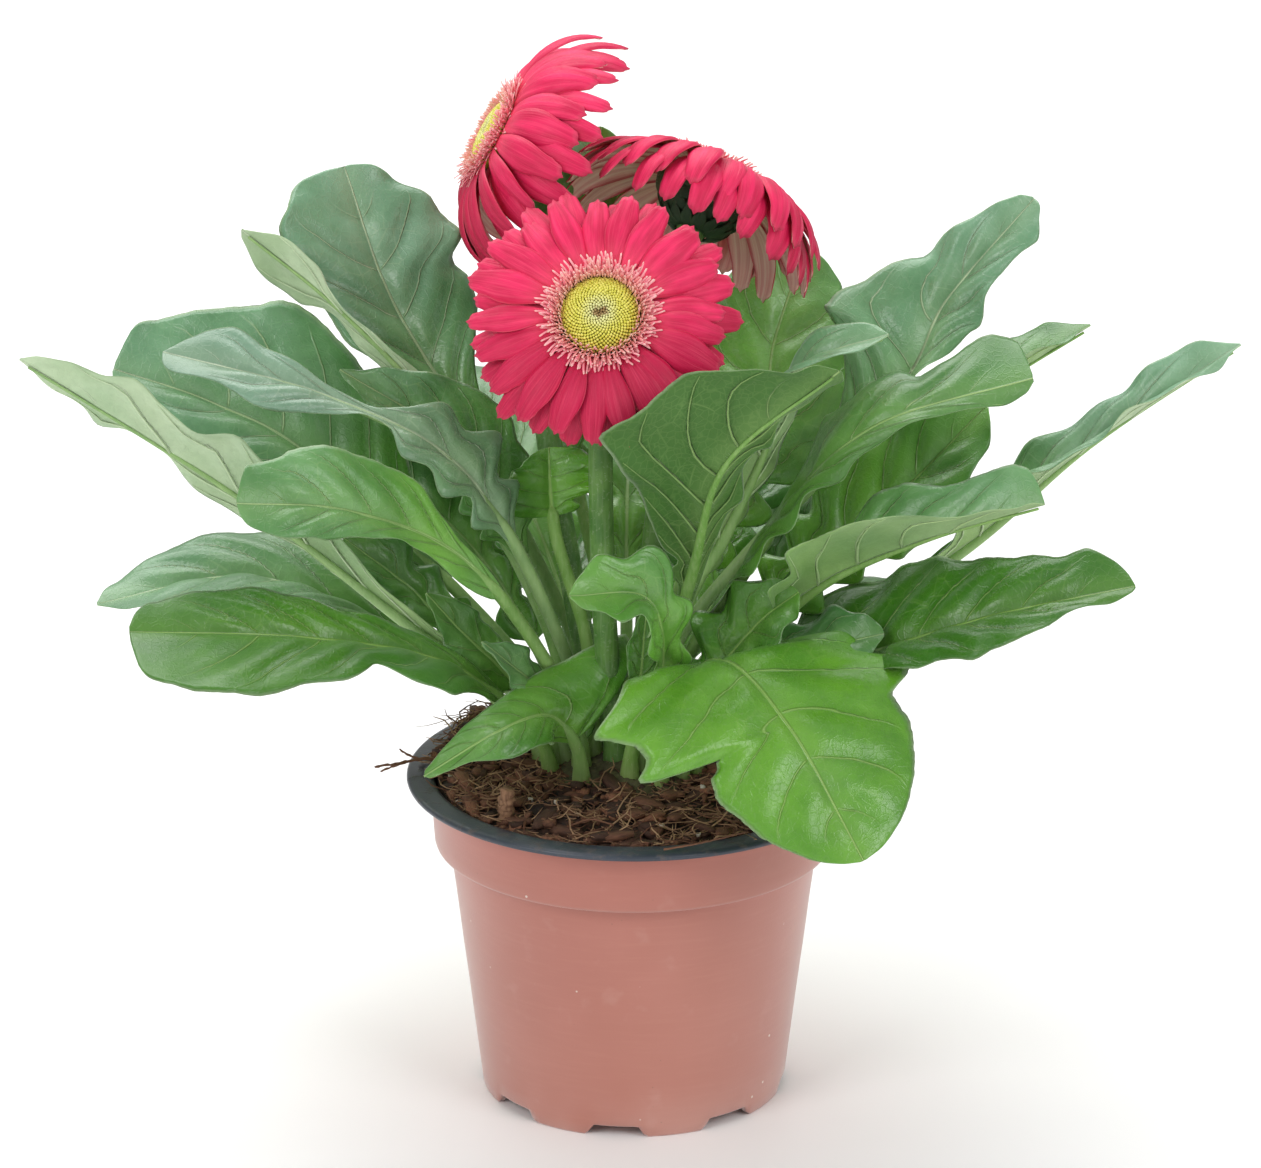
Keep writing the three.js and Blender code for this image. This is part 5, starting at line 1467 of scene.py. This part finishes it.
def pot_mesh(materials):
    """The pot: a lathed wall with a foot that is notched, a stepped band and a rolled lip."""
    rings = np.array(POT_OUTSIDE + POT_INSIDE, float)
    r, z = rings[1:-1, 0][:, None], rings[1:-1, 1][:, None]
    turn = full_turn(POT_SEGMENTS) - math.pi / 2
    wobble = 1 + 0.0022 * np.cos(2 * turn + 0.8) * smooth(40, 100, z)
    pitch = 2 * math.pi / FOOT_NOTCHES
    aside = np.abs((turn + math.pi / 2 - NOTCH_START * pitch + pitch / 2) % pitch - pitch / 2) * FOOT_RADIUS
    cut = NOTCH_HEIGHT * (1 - smooth(*NOTCH_WIDTHS, aside))
    foot = (np.abs(r - FOOT_RADIUS) < 2) & (z < NOTCH_HEIGHT)
    z = np.where(foot, np.maximum(z, cut + z * 0.1), z + 0 * turn)
    rows = len(rings) - 2
    faces = grid_faces(rows, POT_SEGMENTS, wrap=True)
    shell = Shell()
    shell.add(turned(zip(r * wobble, z), turn), faces)
    shell.finish = [int(i // POT_SEGMENTS >= len(POT_OUTSIDE)) for i in range(len(faces))]
    for is_inside, row, height in ((0, 0, rings[0, 1]), (1, rows - 1, rings[-1, 1])):
        hub, edge = shell.count, np.arange(POT_SEGMENTS) + row * POT_SEGMENTS
        shell.add([(0, 0, height)], [])
        for a, b in zip(edge, np.roll(edge, -1)):
            shell.faces.append(np.array((hub, a, b) if is_inside else (hub, b, a)))
            shell.finish.append(is_inside)
    pot = new_object("pot_wall", shell.mesh("pot_wall", materials))
    pins = Shell()
    for k in range(DRAINS["count"]):
        heading = (k + DRAINS["start"]) * 2 * math.pi / DRAINS["count"] - math.pi / 2
        at = np.array([math.cos(heading), math.sin(heading), 0]) * DRAINS["circle"]
        points, pin_faces = tube([at + (0, 0, 2), at + (0, 0, 8)], [DRAINS["radius"]] * 2, 24)
        pins.add(points, pin_faces)
    cutter = new_object("drain_pins", pins.mesh("drain_pins", []))
    for tool in (pot, cutter):
        tidy_normals(tool.data)
    cut = pot.modifiers.new("drains", "BOOLEAN")
    cut.object, cut.operation, cut.solver = cutter, "DIFFERENCE", "EXACT"
    view = bpy.context.evaluated_depsgraph_get()
    pierced = bpy.data.meshes.new_from_object(pot.evaluated_get(view))
    pot.modifiers.clear()
    pot.data = pierced
    bpy.data.objects.remove(cutter)
    return pot


def tidy_normals(mesh):
    shape = bmesh.new()
    shape.from_mesh(mesh)
    bmesh.ops.recalc_face_normals(shape, faces=shape.faces)
    shape.to_mesh(mesh)
    shape.free()


def lump(at, *waves, folded):
    """The height of noise at a point: waves and one folded wave, each with its scale and height."""
    at = Vector(at)
    rise = sum(noise.noise(at * scale) * height for scale, height in waves)
    return rise + abs(noise.noise(at * folded[0])) * folded[1]


def soil_mesh(name, materials):
    """The soil fills the pot; its top is lumpy and reaches the wall."""
    columns = 200
    turn = full_turn(columns)
    radii = np.concatenate([np.linspace(60.7, 2, 84), [0.6]])
    top = turned([(r, soil_height(r, turn)) for r in radii], turn)
    for r, ring in zip(radii, top):
        for spot in ring:
            height = lump(spot, (0.16, 2.2), (0.45, 1.3), folded=(1.1, 0.9))
            spot[2] += height * (1 if r < SOIL_EDGE else 0.5) - 0.4
    rows = np.concatenate([turned(SOIL_SIDE, turn), top])
    is_top = np.repeat([0.0, 1.0], [len(SOIL_SIDE) * columns, len(radii) * columns])
    shell = Shell()
    shell.add(rows, closed_faces(len(rows), columns), top=is_top)
    return shell.mesh(name, materials)


LITTER = (  # bits that stick out of the soil: their way and the half width at each end
    (((-55, 4, 103.5), (-64, 1.5, 106), (-73, -0.5, 105.2), (-80, -1, 104.2)), 0.65, 0.35),
    (((-70, 0.2, 105.6), (-74.5, -2.6, 105), (-78, -3.4, 103.6)), 0.6, 0.3),
    (((-66, 1.2, 105.9), (-70.5, 3.4, 107), (-72.5, 4.2, 108.2)), 0.45, 0.25),
    (((9, -68.4, 104.4), (19, -66.2, 105.4), (34, -58, 105.8)), 0.34, 0.2),
    (((-39.2, -38, 99), (-38.6, -38, 105), (-38, -38.4, 111.5)), 2.6, 2.1),
    (((-20, -47, 103), (-13, -51, 107), (-6, -53, 106)), 0.4, 0.25),
    (((-46, -26, 103), (-50, -31, 108), (-53, -33, 112)), 0.45, 0.25),
)


def litter_mesh(material):
    """A forked twig over the rim, an upright piece of bark and some loose strands."""
    rings, sides = 26, 8
    u = np.linspace(0, 1, rings)
    lie = [np.repeat(u - 0.5, sides), np.tile(np.linspace(-0.5, 0.5, sides), rings), np.zeros(rings * sides)]
    noise.seed_set(LITTER_SEED)  # without it the noise vectors differ from run to run
    shell = Shell()
    for number, (way, thick, thin) in enumerate(LITTER):
        points, faces = tube(Spine(way).at(u), mix(thick, thin, u), sides)
        shift = [np.array(noise.noise_vector(Vector(spot) * 0.9)) * thick * 0.5 for spot in points]
        luck = np.tile((0.5, 0.35 if thick > 2 else 0.1, number / 7), (len(points), 1))
        shell.add(points + shift, faces, strand=np.stack(lie, -1), luck=luck)
    mesh = shell.mesh("soil_litter", [material])
    tidy_normals(mesh)
    return mesh


def crown_mesh(materials):
    """The crown: a lumpy mound of old leaf feet that the stalks stand in."""
    columns, radius, bottom = 120, CROWN["radius"], CROWN["bottom"]
    turn = full_turn(columns)
    radii = np.concatenate([np.linspace(radius - 0.8, 1.5, 34), [0.5]])
    side = turned(((1, bottom), (radius, bottom), (radius, 101), (radius - 0.2, 103.4)), turn)
    top = turned([(r, crown_height(r)) for r in radii], turn)
    rows = np.concatenate([side, top]) + (*CROWN["middle"], 0)
    for spot in rows[len(side) :].reshape(-1, 3):
        spot[2] += lump(spot, (0.22, 1.8), folded=(0.6, 1.6)) - 0.8
    shell = Shell()
    shell.add(rows, closed_faces(len(rows), columns))
    return shell.mesh("crown", materials)


def stem_mesh(flower, material):
    """A flower stem, wider at both ends, and the round cup that it ends in."""
    spine = stem_spine(flower)
    u = np.concatenate([np.linspace(0, 0.06, 6)[:-1], np.linspace(0.06, 1, 60)])
    radii = STEM_RADIUS * (1 + 0.35 * np.exp(-((u / 0.035) ** 2)) + 0.22 * smooth(0.93, 1, u))
    shell = Shell()
    points, faces = tube(spine.at(u), radii, 28, flutes=7, flute_depth=0.02)
    shell.add(points, faces, cup=np.zeros(len(points)))
    head, rows = np.array(head_matrix(flower)), cup_outline()
    local = turned(rows, -full_turn(HEAD_SIDES)).reshape(-1, 3)
    points = local @ head[:3, :3].T + head[:3, 3] / MM
    shell.add(points, closed_faces(len(rows), HEAD_SIDES), cup=np.ones(len(points)))
    mesh = shell.mesh("stem", [material])
    tidy_normals(mesh)
    return mesh


def cup_outline():
    """The radii and heights of a cup from its seat under the head down to the stem."""
    downs = np.linspace(0, 1, 14)
    sizes = np.interp(downs, *zip(*CUP_LEVELS)) - 0.02 * np.sin(downs * math.pi)
    outline = [(CUP_RADIUS * s * 0.97, CUP_SEAT - CUP_DEPTH * d) for d, s in zip(downs, sizes)]
    return [(1.0, CUP_SEAT), *outline, (1.0, CUP_SEAT - CUP_DEPTH - 0.2)]


def dome_mesh(name, material):
    """The plain dome that the disc's florets stand on."""
    shares = np.linspace(1, 0.04, 16)
    heights = DISC_RISE * (1 - shares**4) * smooth(*DISC_DIP, shares) - 0.2
    rows = [(DISC_RADIUS - 0.4, -2.8), *zip(DISC_RADIUS * shares, heights)]
    shell = Shell()
    shell.add(
        turned(rows, full_turn(HEAD_SIDES)), closed_faces(len(rows), HEAD_SIDES),
        share=np.repeat([1, *shares], HEAD_SIDES),
    )
    mesh = shell.mesh(name, [material])
    tidy_normals(mesh)
    return mesh


# ---------------------------------------------------------------- settings, operators and panel


def colour_of(label, description, default):
    return FloatVectorProperty(
        name=label, description=description, default=default, size=3, subtype="COLOR", min=0.0, max=1.0
    )


def size_of(label, description, default):
    return FloatProperty(
        name=label, description=description, default=default, min=0.0, subtype="DISTANCE", unit="LENGTH"
    )


def amount_of(label, description, default, unit="NONE"):
    return FloatProperty(name=label, description=description, default=default, min=0.0, unit=unit)


def count_of(label, description, default, low, high):
    return IntProperty(name=label, description=description, default=default, min=low, max=high)


class GerberaLeafSettings(bpy.types.PropertyGroup):
    down: amount_of("Down", "Hairs on a square metre of stalk", 170000.0)
    thickness: size_of("Thickness", "How thick a leaf blade is", 0.00056)
    relief: size_of("Relief", "How far the skin swells between the side veins", 0.0022)
    light: colour_of("Light Green", "The lighter green of a leaf's upper side", (0.07, 0.225, 0.032))
    dark: colour_of("Dark Green", "The darker green of a leaf's upper side", (0.027, 0.125, 0.016))
    under_light: colour_of("Under Light", "The lighter green of a leaf's under side", (0.27, 0.42, 0.19))
    under_dark: colour_of("Under Dark", "The darker green of a leaf's under side", (0.15, 0.29, 0.09))


class GerberaFlowerSettings(bpy.types.PropertyGroup):
    petals: count_of("Petals", "Petals of each flower, in two layers", 42, 8, 80)
    petal_width: size_of("Petal Width", "The widest part of a petal", 0.0104)
    petal_thickness: size_of("Petal Thickness", "How thick a petal is", 0.00055)
    disc_florets: count_of("Disc Florets", "Florets of each disc", 640, 20, 900)
    petal: colour_of("Petal", "The main colour of the petals", (1.0, 0.029, 0.15))
    # the petal shade is a deeper tone, also laid as painted shade in the grooves, at the petals' sides and on
    # the lower petals
    shade: colour_of("Petal Shade", "The deeper colour in the petals' grooves", (0.6, 0.007, 0.065))
    under: colour_of("Petal Back", "The colour of the petals' backs", (0.9, 0.44, 0.38))


class GerberaPotSettings(bpy.types.PropertyGroup):
    clay: colour_of("Clay", "The colour of the pot's outside", (0.46, 0.172, 0.137))
    fibres: amount_of("Fibres", "Fibres on a square metre of soil", 95000.0)


class GerberaStageSettings(bpy.types.PropertyGroup):
    world: amount_of("World Light", "How bright the surroundings are", 0.55)
    key: amount_of("Key Light", "Power of the soft light", 36.0, "POWER")


FLOOR_CORNERS = ((-6000, -4000, 0), (6000, -4000, 0), (6000, 9000, 0), (-6000, 9000, 0))
LAMPS = {  # in metres: where each soft light stands, its size, and its share of the key power
    "overhead": ((-0.3, 1.1, 1.9), 1.9, 1.0),
    "left": ((-1.3, -1.4, 1.3), 0.9, 0.36),
    "front": ((1.5, -1.5, 1.6), 1.1, 0.44),
}
LAMP_AIM = Vector((0, 0, 0.16))
CAMERA_SENSOR = 36.0
CAMERA_ZOOM = 6542 / 1261  # focal length as a share of the sensor's width
CAMERA_AIM = Vector((-0.00095, 0, 0.164))
CAMERA_DISTANCE = 2.0
CAMERA_HEIGHT = math.radians(20)


def aimed(thing, place, aim):
    """Stands a light or camera at a place, so that it looks at another."""
    thing.location = place
    thing.rotation_euler = (aim - thing.location).to_track_quat("-Z", "Y").to_euler()
    return thing


class GerberaOperator:
    bl_options = {"REGISTER", "UNDO"}


class GERBERA_OT_stage(GerberaOperator, bpy.types.Operator):
    """Set up the pale floor, the soft light and the camera"""

    bl_idname = "gerbera.stage"
    bl_label = "Stage"

    def execute(self, context):
        settings = context.scene.gerbera_stage
        scene = context.scene
        scene.view_settings.view_transform = "Standard"
        floor = Shell()
        floor.add(FLOOR_CORNERS, [(0, 1, 2, 3)])
        finish = Finish("floor_paper")
        cloud = finish.noise(3.0, 3.0)
        finish.colour = finish.blend(cloud, (0.975, 0.975, 0.975), (0.99, 0.99, 0.99))
        material = finish.surface(0.85 + cloud * 0.1)
        new_object("floor", floor.mesh("floor", [material], smooth_shaded=False))

        world = bpy.data.worlds.new("studio")
        world.use_nodes = True
        back = world.node_tree.nodes["Background"]
        back.inputs["Color"].default_value = (1.0, 1.0, 1.0, 1.0)
        back.inputs["Strength"].default_value = settings.world
        scene.world = world

        for name, (place, size, share) in LAMPS.items():
            lamp = bpy.data.lights.new(name, "AREA")
            lamp.size, lamp.energy = size, settings.key * share
            aimed(new_object(name, lamp), place, LAMP_AIM)

        lens = bpy.data.cameras.new("camera")
        lens.sensor_width, lens.sensor_fit, lens.clip_end = CAMERA_SENSOR, "HORIZONTAL", 30
        lens.lens = CAMERA_SENSOR * CAMERA_ZOOM
        away = Vector((0, -math.cos(CAMERA_HEIGHT), math.sin(CAMERA_HEIGHT))) * CAMERA_DISTANCE
        scene.camera = aimed(new_object("camera", lens), CAMERA_AIM + away, CAMERA_AIM)
        return {"FINISHED"}


class GERBERA_OT_pot(GerberaOperator, bpy.types.Operator):
    """Make the pot with its notched foot and dark rim"""

    bl_idname = "gerbera.pot"
    bl_label = "Pot"

    def execute(self, context):
        pot = pot_mesh([pot_finish(tuple(context.scene.gerbera_pot.clay)), rim_finish()])
        fitted(pot, "pot", "pot")
        return {"FINISHED"}


class GERBERA_OT_soil(GerberaOperator, bpy.types.Operator):
    """Make the soil and the fibres, chips and grains that lie on it"""

    bl_idname = "gerbera.soil"
    bl_label = "Soil"

    def execute(self, context):
        earth = soil_finish("soil_peat", (0.09, 0.037, 0.019), (0.006, 0.0035, 0.0025))
        fitted(new_object("soil_bed", soil_mesh("soil_bed", [earth])), "soil", "soil")
        tree = strewn_tree()
        fibres = context.scene.gerbera_pot.fibres
        tan = strand_finish("soil_fibre", (0.58, 0.36, 0.2), (0.15, 0.055, 0.028))
        bark = strand_finish("soil_chip", (0.27, 0.115, 0.06), (0.04, 0.017, 0.01))
        pale = strand_finish("soil_grain", (0.75, 0.7, 0.62), (0.5, 0.42, 0.34))
        for name, values in {
            "soil_fibres": dict(Density=fibres, Length=0.012, Width=0.00042, Thickness=0.00034, Curl=0.7,
                                Tilt=1.1, Lift=0.0012, Seed=3, Material=tan),
            "soil_threads": dict(Density=fibres * 0.25, Length=0.02, Width=0.00024, Thickness=0.0002,
                                 Curl=0.9, Tilt=0.4, Lift=0.0014, Along=10, Seed=8, Material=tan),
            "soil_chips": dict(Density=30000.0, Length=0.0095, Width=0.0042, Thickness=0.002, Curl=0.1,
                               Tilt=0.6, Lift=0.0006, Rough=0.002, Grain=300.0, Across=3, Along=5, Seed=5,
                               Material=bark),
            "soil_crumbs": dict(Density=90000.0, Length=0.0028, Width=0.0018, Thickness=0.0014, Curl=0.1,
                                Tilt=0.6, Lift=0.0003, Rough=0.0014, Grain=700.0, Across=2, Along=3, Seed=6,
                                Material=bark),
            "soil_grains": dict(Density=2600.0, Length=0.0022, Width=0.0015, Thickness=0.0013, Curl=0.1,
                                Tilt=0.3, Lift=0.0008, Rough=0.0008, Grain=900.0, Across=3, Along=4, Seed=9,
                                Material=pale),
        }.items():
            bits = tree.grow(name, values, start=soil_mesh(name + "_ground", []))
            fitted(bits, "soil", "soil")
        fitted(new_object("soil_litter", litter_mesh(tan)), "soil", "soil")
        return {"FINISHED"}


class GERBERA_OT_crown(GerberaOperator, bpy.types.Operator):
    """Make the crown that the stalks stand in"""

    bl_idname = "gerbera.crown"
    bl_label = "Crown"

    def execute(self, context):
        skin = soil_finish("crown_skin", (0.16, 0.15, 0.06), (0.05, 0.045, 0.02), 0.75)
        fitted(new_object("crown_mound", crown_mesh([skin])), "crown", "crown")
        return {"FINISHED"}


class GERBERA_OT_leaves(GerberaOperator, bpy.types.Operator):
    """Make the leaves, each a lobed blade on its stalk with ribs beneath"""

    bl_idname = "gerbera.leaves"
    bl_label = "Leaves"

    def execute(self, context):
        settings = context.scene.gerbera_leaf
        skins = [
            leaf_finish("leaf_upper", tuple(settings.light), tuple(settings.dark), 0.3, False),
            leaf_finish("leaf_under", tuple(settings.under_light), tuple(settings.under_dark), 0.6, True),
            rib_finish(),
        ]
        for name, own in LEAVES.items():
            mesh = leaf_mesh(name, {**LEAF_DEFAULTS, **own}, settings, skins)
            nodes = () if name.startswith("small") else ("leaf_" + name,)
            fitted(new_object("blade_" + name, mesh), "leaf", *nodes)
        down = {"Body": False, "Density": settings.down, "Length": 0.0013, "Material": down_finish()}
        bars = downy_bars({**LEAF_DEFAULTS, **own} for own in LEAVES.values())
        fitted(down_tree().grow("leaf_hairs", down, start=bars), "leaf")
        return {"FINISHED"}


class GERBERA_OT_stems(GerberaOperator, bpy.types.Operator):
    """Make the flower stems with their down, and the cups of bracts"""

    bl_idname = "gerbera.stems"
    bl_label = "Stems"

    def execute(self, context):
        finish, bract = stem_finish(), bract_finish()
        down, ring = down_tree(), ring_tree()
        for name, flower in FLOWERS.items():
            values = {"Density": 60000.0, "Seed": flower["seed"], "Material": finish}
            piece = down.grow("stalk_" + name, values, start=stem_mesh(flower, finish))
            fitted(piece, "stem", "stem_" + name)
            values = {
                "Count": 42, "Tiers": 3, "Root Radius": 0.0052, "Foot": -0.0182, "Length": 0.0108,
                "Width": 0.0042, "Rise": 0.25, "Bend": -1.25, "Tier Foot": 0.0028, "Tier Rise": 0.3,
                "Tier Length": -0.12, "Tier Radius": 0.0034, "Roll": 0.05, "Thickness": 0.0006,
                "Ridge": 0.0001, "Hollow": 0.05, "Blunt": 0.5, "Tip": 0.25, "Neck": 0.9, "Across": 5,
                "Along": 8, "Seed": flower["seed"] + 2, "Material": bract,
            }
            bracts = ring.grow("bracts_" + name, values, frame_matrix=head_matrix(flower))
            fitted(bracts, "stem", "stem_" + name)
        return {"FINISHED"}


class GERBERA_OT_rays(GerberaOperator, bpy.types.Operator):
    """Make the rings of petals"""

    bl_idname = "gerbera.rays"
    bl_label = "Petals"

    def execute(self, context):
        settings = context.scene.gerbera_flower
        skin = ray_finish(tuple(settings.petal), tuple(settings.shade), tuple(settings.under))
        tree = ring_tree()
        for name, flower in FLOWERS.items():
            angles = {"Rise": "rise", "Bend": "bend", "Droop": "droop", "Droop Heading": "droop_heading"}
            values = {label: math.radians(flower[key]) for label, key in angles.items()}
            values |= {
                "Count": settings.petals, "Tiers": 2, "Root Radius": RAY_ROOT * MM, "Foot": -0.0017,
                "Length": (flower["rays"] + RAY_HIDDEN) * MM, "Width": settings.petal_width,
                "Tier Foot": 0.0021, "Tier Rise": math.radians(7), "Tier Length": -0.09,
                "Thickness": settings.petal_thickness, "Ridge": 0.00028, "Roll": 0.42, "Hollow": 0.22,
                "Spread": flower["spread"], "Blunt": 0.19, "Tip": 0.7, "Along": 17, "Seed": flower["seed"],
                "Material": skin,
            }
            petals = tree.grow("petals_" + name, values, frame_matrix=head_matrix(flower))
            fitted(petals, "rays", "rays_" + name)
        return {"FINISHED"}


class GERBERA_OT_fringes(GerberaOperator, bpy.types.Operator):
    """Make the short florets between the petals and the disc"""

    bl_idname = "gerbera.fringes"
    bl_label = "Fringes"

    def execute(self, context):
        skin = fringe_finish()
        tree = ring_tree()
        same = {
            "Tier Foot": 0.0005, "Tier Rise": 0.17, "Spread": 0.3, "Thickness": 0.0003, "Ridge": 0.00002,
            "Roll": 0.2, "Hollow": -0.2, "Blunt": 0.05, "Neck": 0.7, "Tip": 0.85, "Across": 3, "Along": 5,
            "Material": skin,
        }
        for name, flower in FLOWERS.items():
            for part, own in {
                "straps": {"Count": 230, "Tiers": 3, "Root Radius": 0.0136, "Foot": 0.0004, "Length": 0.0058,
                           "Width": 0.00068, "Rise": 0.38, "Bend": 0.25, "Tier Length": -0.1,
                           "Tier Radius": -0.0007},
                "florets": {"Count": 360, "Tiers": 4, "Root Radius": 0.0138, "Foot": 0.0006, "Length": 0.0036,
                            "Width": 0.0007, "Rise": 0.75, "Bend": -0.25, "Tier Length": -0.09,
                            "Tier Radius": -0.00075},
            }.items():
                values = {**same, **own, "Seed": flower["seed"] + len(part)}
                florets = tree.grow(f"{part}_{name}", values, frame_matrix=head_matrix(flower))
                fitted(florets, "fringe", "fringe_" + name)
        return {"FINISHED"}


class GERBERA_OT_discs(GerberaOperator, bpy.types.Operator):
    """Make the discs of small florets in spirals"""

    bl_idname = "gerbera.discs"
    bl_label = "Discs"

    def execute(self, context):
        skin = disc_finish()
        tree = disc_tree()
        for name, flower in FLOWERS.items():
            values = {
                "Count": context.scene.gerbera_flower.disc_florets, "Radius": DISC_RADIUS * MM,
                "Rise": DISC_RISE * MM, "Size": 0.0005, "Seed": flower["seed"], "Material": skin,
            }
            disc = tree.grow("dome_" + name, values, dome_mesh("dome_" + name, skin), head_matrix(flower))
            fitted(disc, "disc", "disc_" + name)
        return {"FINISHED"}


STEPS = (
    GERBERA_OT_stage, GERBERA_OT_pot, GERBERA_OT_soil, GERBERA_OT_crown, GERBERA_OT_leaves, GERBERA_OT_stems,
    GERBERA_OT_rays, GERBERA_OT_fringes, GERBERA_OT_discs,
)
SETTINGS = {
    "gerbera_stage": GerberaStageSettings,
    "gerbera_pot": GerberaPotSettings,
    "gerbera_leaf": GerberaLeafSettings,
    "gerbera_flower": GerberaFlowerSettings,
}


class GERBERA_PT_panel(bpy.types.Panel):
    """Lists the steps that build the plant, and their sizes and colours"""

    bl_idname = "GERBERA_PT_panel"
    bl_label = "Potted Gerbera"
    bl_space_type = "VIEW_3D"
    bl_region_type = "UI"
    bl_category = "Gerbera"

    def draw(self, context):
        for step in STEPS:
            self.layout.operator(step.bl_idname)
        for name in SETTINGS:
            box = self.layout.box()
            group = getattr(context.scene, name)
            for setting in group.bl_rna.properties:
                if setting.identifier not in {"rna_type", "name"}:
                    box.prop(group, setting.identifier)


def register():
    for kind in (*SETTINGS.values(), *STEPS, GERBERA_PT_panel):
        bpy.utils.register_class(kind)
    for name, kind in SETTINGS.items():
        setattr(bpy.types.Scene, name, PointerProperty(type=kind))


def unregister():
    for name in SETTINGS:
        delattr(bpy.types.Scene, name)
    for kind in (GERBERA_PT_panel, *reversed(STEPS), *SETTINGS.values()):
        bpy.utils.unregister_class(kind)


def main():
    register()
    for step in STEPS:
        category, _, name = step.bl_idname.partition(".")
        getattr(getattr(bpy.ops, category), name)()


if __name__ == "__main__":
    main()
